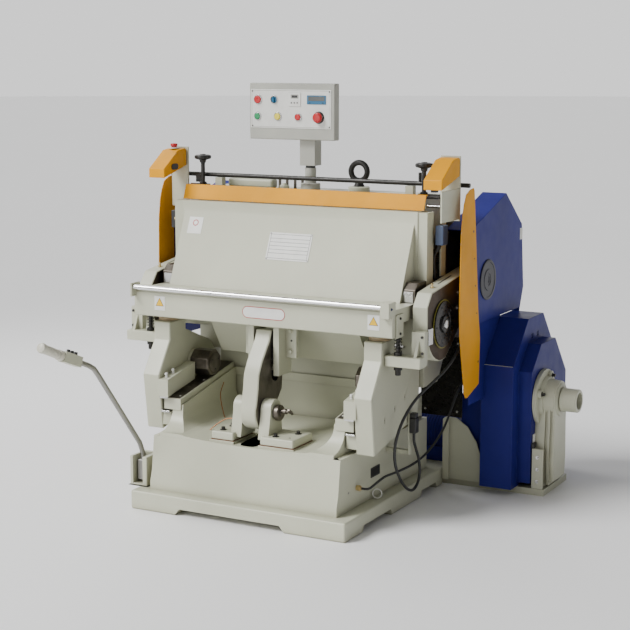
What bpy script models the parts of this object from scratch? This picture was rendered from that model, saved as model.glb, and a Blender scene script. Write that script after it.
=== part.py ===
"""Creasing and die-cutting press: base, bed, sliding saddles, hinged platen, crank drive and controls.

Frame: X to the machine's right, Y to its back, Z up, metres. The origin is on the base's underside.
"""
import math

import bmesh
import bpy
from mathutils import Matrix, Vector

# Driving dimensions
GAP = 0.0003
BASE_HALF_WIDTH = 0.50
BASE_FRONT, BASE_BACK = -0.47, 0.474
FLANGE_TOP = 0.079
FLOOR_TOP = 0.315
RAIL_SLOPE = 0.19
RAIL_FRONT, RAIL_BACK = -0.29, 0.145
RAIL_FRONT_HEIGHT = 0.443
RAIL_INNER, RAIL_WEB, RAIL_OUTER = 0.365, 0.405, 0.445
SADDLE_INNER, SADDLE_OUTER = 0.455, 0.535
SLIDE_BLOCK = (-0.04, 0.557)
STOP_BOLT_X, STOP_BOLT_Y = 0.583, -0.178
BED_FRONT, BED_TOP, BED_HALF_WIDTH = 0.155, 1.285, 0.545
HINGE_Y, HINGE_Z = -0.27, 0.78
PLATEN_HALF_WIDTH = 0.60
TRUNNION_Y, TRUNNION_Z, TRUNNION_RADIUS = 0.03, 0.80, 0.085
DRAWBAR_INNER, DRAWBAR_OUTER = 0.615, 0.68
SHAFT_Y, SHAFT_Z, SHAFT_RADIUS = 0.405, 0.933, 0.035
CRANK_RADIUS = 0.10
GEAR_RADIUS, GEAR_TEETH = 0.255, 36
ARM_PIN_Y, ARM_PIN_Z, ARM_PIN_RADIUS = -0.28, 0.435, 0.020
LINK_PIN_Y, LINK_PIN_Z = -0.19, 0.60
CLAMP_Y, CLAMP_Z = 0.197, 1.342
COVER_HALF_WIDTH = 0.72
DRIVE_Y, DRIVE_Z = 0.62, 0.405
CONSOLE_FRONT, CONSOLE_LEFT, CONSOLE_RIGHT = 0.20, -0.308, 0.103
CONSOLE_BOTTOM, CONSOLE_TOP = 1.504, 1.742
CONSOLE_POST_X, CONSOLE_POST_Y = -0.04, 0.235
BUTTON_PLAY, BUTTON_POCKET = 0.0008, 0.006
LEVER_X, LEVER_Y, LEVER_Z = -0.505, -0.345, 0.135
SHEET, GUARD_GAP = 0.003, 0.0015
DRIVE_CABLE_DIAMETER, CONTROL_CABLE_DIAMETER = 0.012, 0.010
DRIVE_CABLE_ROUTE = [
    (0.706, 0.236, 0.790), (0.704, 0.205, 0.745), (0.700, 0.165, 0.690), (0.690, 0.115, 0.638),
    (0.670, 0.060, 0.592), (0.645, 0.005, 0.555), (0.618, -0.050, 0.515), (0.596, -0.102, 0.465),
    (0.578, -0.142, 0.400), (0.565, -0.160, 0.325), (0.558, -0.142, 0.245), (0.557, -0.090, 0.170),
    (0.557, -0.025, 0.115), (0.557, 0.035, 0.095), (0.557, 0.082, 0.115), (0.558, 0.098, 0.160),
    (0.558, 0.085, 0.215), (0.558, 0.058, 0.262), (0.558, 0.038, 0.300), (0.558, 0.035, 0.3335),
]
CONTROL_CABLE_ROUTE = [
    (0.4592, -0.242, 0.157), (0.475, -0.242, 0.157), (0.490, -0.233, 0.160), (0.498, -0.195, 0.171),
    (0.505, -0.125, 0.183), (0.518, -0.040, 0.184), (0.532, 0.060, 0.188), (0.548, 0.150, 0.207),
    (0.560, 0.235, 0.243), (0.570, 0.305, 0.290), (0.580, 0.350, 0.350), (0.592, 0.380, 0.415),
    (0.605, 0.405, 0.462), (0.618, 0.440, 0.490), (0.626, 0.480, 0.488), (0.630, 0.515, 0.464),
    (0.631, 0.533, 0.438), (0.631, 0.536, 0.4115),
]

PAINTS = {
    "cream": ((0.52, 0.53, 0.46), 0.45, 0.0),
    "yellow": ((0.72, 0.36, 0.02), 0.40, 0.0),
    "blue": ((0.03, 0.035, 0.20), 0.38, 0.0),
    "grey": ((0.42, 0.42, 0.37), 0.45, 0.0),
    "black": ((0.03, 0.03, 0.03), 0.45, 0.0),
    "dark_steel": ((0.10, 0.09, 0.08), 0.40, 0.9),
    "steel": ((0.55, 0.55, 0.55), 0.28, 1.0),
    "tan": ((0.45, 0.35, 0.18), 0.50, 0.0),
    "rubber": ((0.02, 0.02, 0.02), 0.60, 0.0),
    "red": ((0.60, 0.02, 0.02), 0.35, 0.0),
    "green": ((0.02, 0.35, 0.10), 0.35, 0.0),
    "amber": ((0.75, 0.60, 0.05), 0.35, 0.0),
    "teal": ((0.02, 0.20, 0.35), 0.35, 0.0),
    "ivory": ((0.62, 0.62, 0.54), 0.45, 0.0),
}


def clear_scene():
    """Remove every object that the new file starts with."""
    for item in list(bpy.data.objects):
        bpy.data.objects.remove(item, do_unlink=True)


def paint(name):
    """Return the named Principled material, made on first use."""
    found = bpy.data.materials.get(name)
    if found:
        return found
    colour, roughness, metallic = PAINTS[name]
    made = bpy.data.materials.new(name)
    made.use_nodes = True
    shader = made.node_tree.nodes["Principled BSDF"]
    shader.inputs["Base Color"].default_value = (*colour, 1.0)
    shader.inputs["Roughness"].default_value = roughness
    shader.inputs["Metallic"].default_value = metallic
    return made


def add_object(name, mesh_data, finish, smooth=False):
    """Link a finished mesh as a named object."""
    piece = bpy.data.objects.new(name, mesh_data)
    bpy.context.scene.collection.objects.link(piece)
    mesh_data.materials.append(paint(finish))
    if smooth:
        mesh_data.shade_smooth()
        mesh_data.set_sharp_from_angle(angle=math.radians(35))
    return piece


def to_object(name, bm, finish, origin, smooth=False):
    """Turn a bmesh in world coordinates into an object whose origin is the given point."""
    bmesh.ops.recalc_face_normals(bm, faces=bm.faces)
    bmesh.ops.translate(bm, verts=bm.verts, vec=-Vector(origin))
    mesh_data = bpy.data.meshes.new(name)
    bm.to_mesh(mesh_data)
    bm.free()
    piece = add_object(name, mesh_data, finish, smooth)
    piece.location = origin
    return piece


def bevel_edges(bm, width, min_angle=30.0):
    """Round the sharp edges of a plain solid by one flat."""
    sharp = [e for e in bm.edges if len(e.link_faces) == 2 and e.calc_face_angle() > math.radians(min_angle)]
    bmesh.ops.bevel(bm, geom=sharp, offset=width, segments=1, profile=0.5, affect="EDGES", material=-1)


def block(name, low, high, finish="cream", origin=(0, 0, 0), bevel=0.0):
    """A box between two corners."""
    bm = bmesh.new()
    bmesh.ops.create_cube(bm, size=1.0)
    size = Vector(high) - Vector(low)
    bmesh.ops.scale(bm, vec=size, verts=bm.verts)
    bmesh.ops.translate(bm, vec=(Vector(low) + Vector(high)) / 2, verts=bm.verts)
    if bevel:
        bevel_edges(bm, bevel)
    return to_object(name, bm, finish, origin)


def profile(name, outline, x_low, x_high, finish="cream", origin=(0, 0, 0), bevel=0.0, smooth=False):
    """A closed outline of (y, z) points, extruded along X."""
    bm = bmesh.new()
    ring = [bm.verts.new((x_low, y, z)) for y, z in outline]
    face = bm.faces.new(ring)
    grown = bmesh.ops.extrude_face_region(bm, geom=[face])
    moved = [v for v in grown["geom"] if isinstance(v, bmesh.types.BMVert)]
    bmesh.ops.translate(bm, vec=(x_high - x_low, 0, 0), verts=moved)
    if bevel:
        bmesh.ops.recalc_face_normals(bm, faces=bm.faces)
        bevel_edges(bm, bevel)
    return to_object(name, bm, finish, origin, smooth)


def turned(name, stations, axis, centre, finish="steel", origin=None, segments=32):
    """A solid turned about an axis: stations are (distance along the axis, radius)."""
    bm = bmesh.new()
    rings = []
    for along, radius in stations:
        ring = []
        for step in range(segments):
            angle = 2 * math.pi * step / segments
            ring.append(bm.verts.new((radius * math.cos(angle), radius * math.sin(angle), along)))
        rings.append(ring)
    for lower, upper in zip(rings, rings[1:]):
        for step in range(segments):
            following = (step + 1) % segments
            bm.faces.new((lower[step], lower[following], upper[following], upper[step]))
    bm.faces.new(list(reversed(rings[0])))
    bm.faces.new(rings[-1])
    turn = {"X": Matrix.Rotation(math.pi / 2, 4, "Y"), "Y": Matrix.Rotation(-math.pi / 2, 4, "X"),
            "Z": Matrix.Identity(4)}[axis]
    bmesh.ops.transform(bm, matrix=Matrix.Translation(Vector(centre)) @ turn, verts=bm.verts)
    return to_object(name, bm, finish, origin or centre, smooth=True)


def rod(name, axis, centre, radius, low, high, finish="steel", origin=None, segments=32):
    """A plain round bar between two distances along an axis."""
    return turned(name, [(low, radius), (high, radius)], axis, centre, finish, origin, segments)


def combine(target, others, operation):
    """Union or cut other solids, which stay hidden guides."""
    for other in others:
        step = target.modifiers.new(operation.lower(), "BOOLEAN")
        step.operation = operation
        step.solver = "EXACT"
        step.object = other
        other.hide_render = True
        other.display_type = "WIRE"
    return target


def unite(target, others):
    """Weld other solids to the target."""
    return combine(target, others, "UNION")


def cut(target, others):
    """Remove other solids from the target."""
    return combine(target, others, "DIFFERENCE")


def arc(centre_y, centre_z, radius, start, end, steps):
    """Points on an arc in the YZ plane, angles in degrees from +Y towards +Z."""
    points = []
    for step in range(steps + 1):
        angle = math.radians(start + (end - start) * step / steps)
        points.append((centre_y + radius * math.cos(angle), centre_z + radius * math.sin(angle)))
    return points


def rail_height(y):
    """Height of the machined way at a distance from the front."""
    return RAIL_FRONT_HEIGHT + RAIL_SLOPE * (y - RAIL_FRONT)


def along_rail(low_offset, high_offset, front, back):
    """Outline of a bar that follows the way's slope, between two heights above it."""
    return [(front, rail_height(front) + low_offset), (back, rail_height(back) + low_offset),
            (back, rail_height(back) + high_offset), (front, rail_height(front) + high_offset)]


def make_base():
    """Base casting: flange, hollow body, and the two machined ways."""
    base = block("base_casting", (-BASE_HALF_WIDTH, BASE_FRONT, 0), (BASE_HALF_WIDTH, BASE_BACK, FLANGE_TOP),
                 bevel=0.006)
    parts = [profile("base_body", [(-0.418, 0.06), (-0.418, 0.12), (-0.402, 0.16), (-0.392, 0.29),
                                   (-0.375, FLOOR_TOP), (0.45, FLOOR_TOP), (0.45, 0.06)], -0.40, 0.40),
             profile("base_skirt", [(-0.405, 0.06), (-0.390, 0.20), (-0.345, 0.272), (0.44, 0.272),
                                    (0.44, 0.06)], -0.445, 0.445)]
    for side in (-1, 1):
        inner, web, outer = (side * value for value in (RAIL_INNER, RAIL_WEB, RAIL_OUTER))
        parts.append(profile("way_web", [(RAIL_FRONT + 0.02, 0.28), (RAIL_BACK, 0.28),
                                         (RAIL_BACK, rail_height(RAIL_BACK) - 0.02),
                                         (RAIL_FRONT + 0.02, rail_height(RAIL_FRONT) - 0.03)], inner, web))
        parts.append(profile("way_head", along_rail(-0.048, 0, RAIL_FRONT, RAIL_BACK),
                             inner - side * 0.001, outer))
    parts += [rod("cable_gland", "X", (0.445, -0.242, 0.157), 0.012, -0.01, 0.0132, segments=12),
              block("socket_arm", (0.435, 0.025, 0.245), (0.544, 0.045, 0.262)),
              block("socket_plate", (0.5395, 0.018, 0.245), (0.544, 0.052, 0.418))]
    unite(base, parts)
    relief = 0.028
    cut(base, [block("relief_front", (-0.27, -0.6, -0.1), (0.215, -0.05, relief)),
               block("relief_rear", (-0.27, 0.25, -0.1), (0.215, 0.6, relief)),
               block("relief_side", (-0.7, -0.31, -0.1), (0.7, -0.05, relief)),
               block("relief_back", (-0.7, 0.25, -0.1), (0.7, 0.40, relief)),
               block("arm_well", (-0.055, -0.46, 0.19), (0.062, -0.17, 0.40))])
    return base


def make_bed():
    """Fixed bed behind the platen, with side frames that carry the crankshaft."""
    bed = block("bed_casting", (-0.44, BED_FRONT, FLOOR_TOP + GAP), (0.44, 0.235, 1.20))
    parts = [block("bed_deck", (-BED_HALF_WIDTH, BED_FRONT, 1.10), (BED_HALF_WIDTH, 0.40, BED_TOP)),
             block("bed_wall", (-BED_HALF_WIDTH, BED_FRONT, 0.58), (BED_HALF_WIDTH, 0.22, 1.15))]
    frame = [(BED_FRONT, 0.50), (0.30, 0.50), (0.49, 0.80), (0.49, 1.05), (0.38, 1.20), (BED_FRONT, 1.20)]
    for side in (-1, 1):
        parts.append(profile("bed_frame", frame, side * 0.475, side * BED_HALF_WIDTH))
        lug = sorted_box((side * 0.44, 0.182, 1.27), (side * 0.475, 0.212, 1.3315))
        parts.append(block("clamp_lug", *lug))
    parts.append(block("bed_foot", (-0.42, 0.20, FLOOR_TOP + GAP), (0.42, 0.42, 0.40)))
    unite(bed, parts)
    return cut(bed, [rod("shaft_bore", "X", (0, SHAFT_Y, SHAFT_Z), SHAFT_RADIUS + 0.001, -0.6, 0.6)])


def sorted_box(first, second):
    """Lowest and highest corner of the box between two points."""
    low = tuple(min(a, b) for a, b in zip(first, second))
    high = tuple(max(a, b) for a, b in zip(first, second))
    return low, high


def make_chase():
    """Steel frame on the bed that holds the cutting die."""
    chase = block("die_chase", (-0.46, 0.130, 0.66), (0.46, BED_FRONT - GAP, 1.20), "steel", bevel=0.003)
    return cut(chase, [block("chase_window", (-0.425, 0.10, 0.695), (0.425, 0.1465, 1.165))])


def saddle_outline():
    """Side view of a saddle: pad block, neck, jaw block and tail."""
    return [(-0.225, 0.752), (-0.225, 0.676), (-0.314, 0.538), (-0.285, 0.305), (-0.10, 0.342), (0.12, 0.40),
            (0.135, 0.45), (0.135, 0.58), (0.10, 0.625), (-0.06, 0.69), (-0.10, 0.705), (-0.10, 0.752)]


def make_saddle(side, label):
    """Saddle that slides on one way, its jaw wrapped round the way's head."""
    saddle = profile("saddle_" + label, saddle_outline(), side * SADDLE_INNER, side * SADDLE_OUTER,
                     bevel=0.004)
    lip = 0.412
    upper = along_rail(0.012, 0.085, -0.312, -0.10)
    lower = along_rail(-0.118, -0.060, -0.286, -0.10)
    boss_centre = (side * (SADDLE_INNER - 0.002), *SLIDE_BLOCK)
    unite(saddle, [profile("jaw_upper", upper, side * lip, side * (SADDLE_INNER + 0.01)),
                   profile("jaw_lower", lower, side * lip, side * (SADDLE_INNER + 0.01)),
                   rod("block_boss", "X", boss_centre, 0.052, -0.012, 0.012)])
    return saddle


def make_pad(side, label):
    """Turned pad on a saddle that the closed platen lands on."""
    return turned("landing_pad_" + label, [(0.752 + GAP, 0.044), (0.766, 0.044), (0.768, 0.041),
                                           (0.7797, 0.041)], "Z", (side * 0.497, -0.165, 0), "tan",
                  (side * 0.497, -0.165, 0.752), 24)


def make_slide_block(side, label):
    """Eight-sided steel block that bears on the way."""
    reach, chamfer = 0.0455, 0.006
    stations = [(-reach, 0.052), (-reach + chamfer, 0.058), (reach, 0.058)]
    if side < 0:
        stations = [(-reach, 0.058), (reach - chamfer, 0.058), (reach, 0.052)]
    slide_block = turned("slide_block_" + label, stations, "X", (side * 0.395, *SLIDE_BLOCK), "dark_steel",
                         None, 8)
    slide_block.rotation_euler = (math.radians(22.5), 0, 0)


def make_platen():
    """Platen casting: pressing slab, sloped front, ledge and fascia, trunnions and link ears."""
    wide = PLATEN_HALF_WIDTH
    hinge = (0, HINGE_Y, HINGE_Z)
    platen = block("platen_casting", (-0.56, 0.045, 0.70), (0.56, 0.112, 1.24), origin=hinge)
    parts = [profile("panel_wedge", [(0.062, 1.236), (0.055, 1.215), (-0.088, 0.884), (-0.088, 0.86),
                                     (0.062, 0.86)], -0.545, 0.545),
             profile("ledge", [(-0.27, 0.84), (-0.27, 0.880), (-0.262, 0.888), (0.112, 0.888), (0.112, 0.83),
                               (-0.26, 0.83)], -wide, wide),
             profile("fascia", [(-0.27, 0.784), (-0.27, 0.85), (-0.235, 0.85), (-0.235, 0.780),
                                (-0.266, 0.780)], -wide, wide),
             profile("keel", [(-0.09, 0.84), (-0.06, 0.74), (0.03, 0.60), (0.112, 0.60), (0.112, 0.84)],
                     -0.355, 0.355)]
    for side in (-1, 1):
        root = sorted_box((side * 0.54, -0.06, 0.715), (side * wide, 0.112, 0.87))
        parts += [block("side_flange", *sorted_box((side * 0.55, 0.05, 0.87), (side * wide, 0.112, 1.238))),
                  block("pad_seat", *sorted_box((side * 0.44, -0.24, 0.78), (side * 0.56, -0.10, 0.835))),
                  block("trunnion_root", *root),
                  rod("trunnion", "X", (side * 0.64, TRUNNION_Y, TRUNNION_Z), TRUNNION_RADIUS, -0.05, 0.043),
                  block("link_ear", *sorted_box((side * 0.046, -0.225, 0.572), (side * 0.072, -0.12, 0.84)))]
    parts += [rod("link_pin", "X", (0, LINK_PIN_Y, LINK_PIN_Z), 0.013, -0.06, 0.06, segments=16),
              block("bar_holder_right", (0.562, -0.302, 0.862), (wide, -0.24, 0.922)),
              block("bar_holder_left", (-wide, -0.302, 0.862), (-0.592, -0.24, 0.918))]
    return unite(platen, parts)


def make_platen_fittings():
    """Cutting plate, bright front bar and the safety bar on the platen."""
    hinge = (0, HINGE_Y, HINGE_Z)
    block("cutting_plate", (-0.46, 0.112 + GAP, 0.72), (0.46, 0.1205, 1.23), "steel", hinge)
    rod("front_bar", "X", (0, -0.286, 0.901), 0.0105, -0.592 + GAP, 0.562 - GAP, "steel", hinge, 20)
    outline = [(0.074, 1.2433), (0.098, 1.305), (0.118, 1.305), (0.118, 1.301), (0.101, 1.301),
               (0.079, 1.2433)]
    profile("safety_bar", outline, -0.573, 0.573, "yellow", (0, 0.0765, 1.2445))


def make_drawbar(side, label):
    """Drawbar from the platen's trunnion back to the crank."""
    centre = (side * 0.6475, TRUNNION_Y, TRUNNION_Z)
    head = [(-0.075, 0.938), (-0.118, 0.885), (-0.118, 0.80)]
    head += arc(TRUNNION_Y, TRUNNION_Z, 0.150, 205, 285, 6)
    tail = [(0.20, 0.755), (0.47, 0.862)] + arc(0.505, 0.933, 0.078, -60, 90, 6) + [(0.20, 0.975)]
    bar = profile("drawbar_" + label, head + tail, side * DRAWBAR_INNER, side * DRAWBAR_OUTER, "cream",
                  centre, bevel=0.003)
    return cut(bar, [rod("eye", "X", centre, TRUNNION_RADIUS + 0.0014, -0.1, 0.1),
                     rod("pin_eye", "X", (side * 0.6475, 0.505, SHAFT_Z), 0.042, -0.1, 0.1, segments=24)])


def make_stop_bracket(side, label):
    """Bracket on a saddle whose spring bolt stands under the platen's end."""
    foot = block("stop_bracket_" + label, *sorted_box((side * (SADDLE_OUTER + GAP), -0.205, 0.655),
                                                      (side * 0.69, -0.150, 0.698)), bevel=0.003)
    plate = block("stop_plate", *sorted_box((side * 0.635, -0.165, 0.66), (side * 0.69, -0.135, 0.795)))
    gusset_outline = [(-0.20, 0.68), (-0.155, 0.68), (-0.155, 0.785)]
    gusset = profile("stop_gusset", gusset_outline, side * 0.656, side * 0.668)
    unite(foot, [plate, gusset])
    hole_centre = (side * STOP_BOLT_X, STOP_BOLT_Y, 0)
    return cut(foot, [rod("bolt_hole", "Z", hole_centre, 0.0135, 0.6, 0.8, segments=16)])


def make_spring_bolt(side, label):
    """Threaded bolt with its spring and nuts."""
    stations = [(0.618, 0.010), (0.622, 0.012), (0.6985, 0.012), (0.699, 0.017), (0.712, 0.017)]
    coils = 5
    pitch = (0.790 - 0.714) / coils
    for turn in range(coils):
        start = 0.714 + turn * pitch
        stations += [(start, 0.013), (start + pitch * 0.3, 0.017), (start + pitch * 0.7, 0.017)]
    stations += [(0.790, 0.013), (0.792, 0.016), (0.8285, 0.016)]
    return turned("spring_bolt_" + label, stations, "Z", (side * STOP_BOLT_X, STOP_BOLT_Y, 0), "black",
                  (side * STOP_BOLT_X, STOP_BOLT_Y, 0.70), 16)


def make_arm():
    """Slotted guide arm between the base and the platen's link pin."""
    centre = (0, ARM_PIN_Y, ARM_PIN_Z)
    eye = arc(ARM_PIN_Y, ARM_PIN_Z, 0.076, 150, 350, 12)
    back = [(-0.135, 0.50), (-0.122, 0.60), (-0.120, 0.72), (-0.13, 0.748)]
    front = [(-0.222, 0.760), (-0.238, 0.72), (-0.30, 0.64), (-0.326, 0.59), (-0.334, 0.53)]
    arm = profile("guide_arm", eye + back + front, -0.036, 0.036, "cream", centre, bevel=0.004)
    slot = arc(-0.19, 0.695, 0.031, 0, 180, 8) + arc(-0.19, 0.575, 0.031, 180, 360, 8)
    return cut(arm, [profile("arm_slot", slot, -0.1, 0.1),
                     rod("arm_bore", "X", centre, ARM_PIN_RADIUS + 0.0008, -0.1, 0.1, segments=24)])


def make_pillows():
    """Two pillow blocks on the base and the pin through them."""
    pin = (0, ARM_PIN_Y, ARM_PIN_Z)
    for side, label, far in ((-1, "left", 0.165), (1, "right", 0.215)):
        near = 0.0625
        ear = [(-0.345, 0.33), (-0.322, 0.44)] + arc(ARM_PIN_Y, ARM_PIN_Z + 0.012, 0.043, 170, 10, 8)
        ear += [(-0.225, 0.33)]
        pillow = block("pillow_block_" + label, *sorted_box((side * near, -0.368, FLOOR_TOP + GAP),
                                                            (side * far, -0.205, 0.350)), bevel=0.004)
        unite(pillow, [profile("pillow_ear", ear, side * 0.040, side * 0.088)])
        cut(pillow, [rod("pin_bore", "X", pin, ARM_PIN_RADIUS + GAP, -0.3, 0.3, segments=24)])
    rod("arm_pin", "X", pin, ARM_PIN_RADIUS, -0.098, 0.118, "dark_steel", None, 24)


def gear_outline():
    """Outline of the bull gear with trapezoid teeth."""
    points = []
    root = GEAR_RADIUS - 0.013
    pitch = 360.0 / GEAR_TEETH
    for tooth in range(GEAR_TEETH):
        start = tooth * pitch
        for radius, offset in ((root, 0.0), (root, 0.45), (GEAR_RADIUS, 0.60), (GEAR_RADIUS, 0.85)):
            angle = math.radians(start + offset * pitch)
            points.append((SHAFT_Y + radius * math.cos(angle), SHAFT_Z + radius * math.sin(angle)))
    return points


def make_crank():
    """Crankshaft with a bull gear and crank stub on each end."""
    centre = (0, SHAFT_Y, SHAFT_Z)
    rod("crankshaft", "X", centre, SHAFT_RADIUS, -0.605, 0.605, "steel", None, 32)
    for side, label in ((-1, "left"), (1, "right")):
        gear = profile("bull_gear_" + label, gear_outline(), side * 0.562, side * 0.598, "dark_steel", centre)
        stub = rod("crank_stub", "X", (side * 0.60, SHAFT_Y + CRANK_RADIUS, SHAFT_Z), 0.035, -0.006, 0.012,
                   segments=24)
        unite(gear, [stub])
        cut(gear, [rod("gear_bore", "X", (side * 0.58, SHAFT_Y, SHAFT_Z), SHAFT_RADIUS + 0.0005, -0.1, 0.1)])


def cover_outline(bottom, inset):
    """Side view of a gear cover, drawn in by an inset."""
    return [(0.222 - inset * 4, bottom - inset * 4), (0.222 - inset * 4, 1.158 - inset * 2.3),
            (0.605, 1.280 - inset * 1.1), (0.80 - inset * 0.9, 1.130 - inset * 0.3),
            (0.834 - inset, 0.848), (0.79 - inset, 0.742), (0.79 - inset, bottom - inset * 4)]


def make_gear_cover(side, label, bottom):
    """Sheet cover over a bull gear, open to the front, the bed and below."""
    cover = profile("gear_cover_" + label, cover_outline(bottom, 0.0), side * 0.61, side * COVER_HALF_WIDTH,
                    "blue")
    inner = profile("cover_space", cover_outline(bottom, SHEET), side * 0.50,
                    side * (COVER_HALF_WIDTH - SHEET))
    return cut(cover, [inner])


def make_drive_cover():
    """Stepped sheet cover over the flywheel, belt and clutch."""
    middle = [(0.43, 0.03), (0.43, 0.565), (0.60, 0.745), (0.785, 0.745), (0.99, 0.51), (0.99, 0.03)]
    outer = [(0.495, 0.05), (0.495, 0.535), (0.60, 0.64), (0.78, 0.64), (0.93, 0.47), (0.93, 0.05)]
    flat = [(0.505, 0.03), (0.505, 0.41), (0.90, 0.41), (0.90, 0.03)]
    cover = profile("drive_cover", middle, 0.69, 0.835, "blue")
    unite(cover, [profile("cover_step_out", outer, 0.80, 0.895), profile("cover_step_in", flat, 0.57, 0.75)])
    hollow = [(0.433, -0.1), (0.433, 0.5637), (0.6013, 0.742), (0.7837, 0.742), (0.987, 0.5089),
              (0.987, -0.1)]
    hollow_in = [(0.508, -0.1), (0.508, 0.407), (0.897, 0.407), (0.897, -0.1)]
    return cut(cover, [profile("cover_hollow", hollow, 0.693, 0.832),
                       profile("cover_hollow_in", hollow_in, 0.573, 0.75),
                       rod("cover_bore", "X", (0.85, DRIVE_Y, DRIVE_Z), 0.045, -0.1, 0.1),
                       rod("cover_bore_in", "X", (0.60, DRIVE_Y, DRIVE_Z), 0.045, -0.1, 0.1)])


def make_drive():
    """Outrigger foot, clutch housing, flywheel on its shaft, and the motor."""
    axis = (0, DRIVE_Y, DRIVE_Z)
    housing = turned("drive_stand", [(0.8955, 0.124), (0.915, 0.124), (0.918, 0.080), (0.985, 0.076),
                                     (0.990, 0.070)], "X", axis, "cream", None, 32)
    pedestal = profile("pedestal", [(0.50, 0.02), (0.515, 0.20), (0.545, 0.36), (0.70, 0.36), (0.735, 0.20),
                                    (0.77, 0.02)], 0.8955, 0.955)
    unite(housing, [pedestal, block("outrigger_foot", (0.505, 0.502, 0), (0.97, 0.96, 0.0285), bevel=0.003),
                    block("motor_base", (0.20, 0.500, 0), (0.52, 0.84, 0.0545), bevel=0.003)])
    cut(housing, [rod("housing_bore", "X", axis, 0.034, 0.85, 1.05)])
    turned("flywheel", [(0.54, 0.030), (0.722, 0.030), (0.724, 0.150), (0.7245, 0.185), (0.785, 0.185),
                        (0.787, 0.030), (0.993, 0.030), (0.995, 0.048), (1.065, 0.048)], "X", axis,
           "dark_steel", None, 40)
    motor = rod("motor", "X", (0, 0.72, 0.17), 0.085, 0.20, 0.48, "blue", None, 24)
    unite(motor, [block("motor_feet", (0.24, 0.64, 0.055), (0.44, 0.80, 0.12)),
                  rod("motor_shaft", "X", (0, 0.72, 0.17), 0.014, 0.46, 0.54, segments=12)])


def make_top(side, label):
    """Wedge box, its post, the chase handwheel and the side guard on one side."""
    wedge = [(-0.015, 1.336), (-0.015, 1.376), (0.095, 1.449), (0.150, 1.456), (0.162, 1.452), (0.162, 1.381)]
    box = profile("wedge_box_" + label, wedge, side * 0.61, side * 0.69, "yellow", bevel=0.002)
    if side < 0:
        pocket_radius = 0.012 + BUTTON_PLAY
        cut(box, [rod("estop_pocket", "Z", (-0.650, 0.125, 1.4565), pocket_radius, -0.012, 0.05,
                      segments=20)])
    post = block("post_" + label, *sorted_box((side * 0.604, 0.166, 1.20), (side * 0.69, 0.174, 1.462)))
    unite(post, [block("post_strip", *sorted_box((side * 0.604, 0.166, 0.97), (side * 0.612, 0.212, 1.24)))])
    if side > 0:
        unite(post, [block("post_side", (0.684, -0.014, 1.208), (0.69, 0.170, 1.332))])
    spindle = (side * 0.53, 0.170, 0)
    turned("handwheel_" + label, [(BED_TOP + GAP, 0.016), (1.31, 0.016), (1.313, 0.009), (1.395, 0.009),
                                  (1.398, 0.014), (1.410, 0.016), (1.413, 0.034), (1.424, 0.037),
                                  (1.429, 0.032), (1.430, 0.012)], "Z", spindle, "black",
           (side * 0.53, 0.170, 1.30), 24)
    inner = COVER_HALF_WIDTH + GUARD_GAP
    profile("side_guard_" + label, guard_outline(), side * inner, side * (inner + SHEET), "yellow")


def guard_outline():
    """Side guard: a long sheet with a rounded upper front and a slanting foot."""
    top = [(0.106, 1.150), (0.117, 1.227), (0.131, 1.272), (0.152, 1.309), (0.190, 1.326), (0.228, 1.331)]
    back = [(0.238, 1.320), (0.258, 1.166), (0.300, 0.817), (0.324, 0.697), (0.319, 0.505)]
    foot = [(0.196, 0.468), (0.176, 0.470), (0.163, 0.490), (0.105, 0.733), (0.098, 0.847), (0.103, 1.040)]
    return top + back + foot


def make_clamp():
    """Round shaft across the top that clamps the chase, with a cranked handle."""
    centre = (0, CLAMP_Y, CLAMP_Z)
    shaft = rod("clamp_shaft", "X", centre, 0.0095, -0.71, 0.72, "black", None, 16)
    handle = rod("clamp_handle", "Z", (0.50, CLAMP_Y, CLAMP_Z), 0.007, 0.0, 0.045, segments=12)
    half, drop = 0.012, 0.034
    front, back = CLAMP_Y - half, CLAMP_Y + half
    dogs = [block("clamp_dog", (x - half, front, CLAMP_Z - drop), (x + half, back, CLAMP_Z))
            for x in (-0.565, 0.565)]
    return unite(shaft, [handle] + dogs)


def make_crown():
    """Lifting eye and the console's post on the bed's deck."""
    bpy.ops.mesh.primitive_torus_add(major_radius=0.036, minor_radius=0.0105, major_segments=28,
                                     minor_segments=10, location=(0, 0, 0))
    ring = bpy.context.active_object
    ring.name = "lifting_eye"
    ring.data.materials.append(paint("black"))
    ring.data.transform(Matrix.Rotation(math.pi / 2, 4, "X"))
    ring.location = (0.17, 0.30, 1.372)
    unite(ring, [turned("eye_shank", [(BED_TOP + GAP, 0.045), (1.308, 0.045), (1.310, 0.020), (1.332, 0.018)],
                        "Z", (0.17, 0.30, 0), "black", None, 24)])
    turned("console_post", [(BED_TOP + GAP, 0.042), (1.318, 0.042), (1.321, 0.024), (1.394, 0.024)], "Z",
           (CONSOLE_POST_X, CONSOLE_POST_Y + 0.02, 0), "grey", None, 24)


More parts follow.
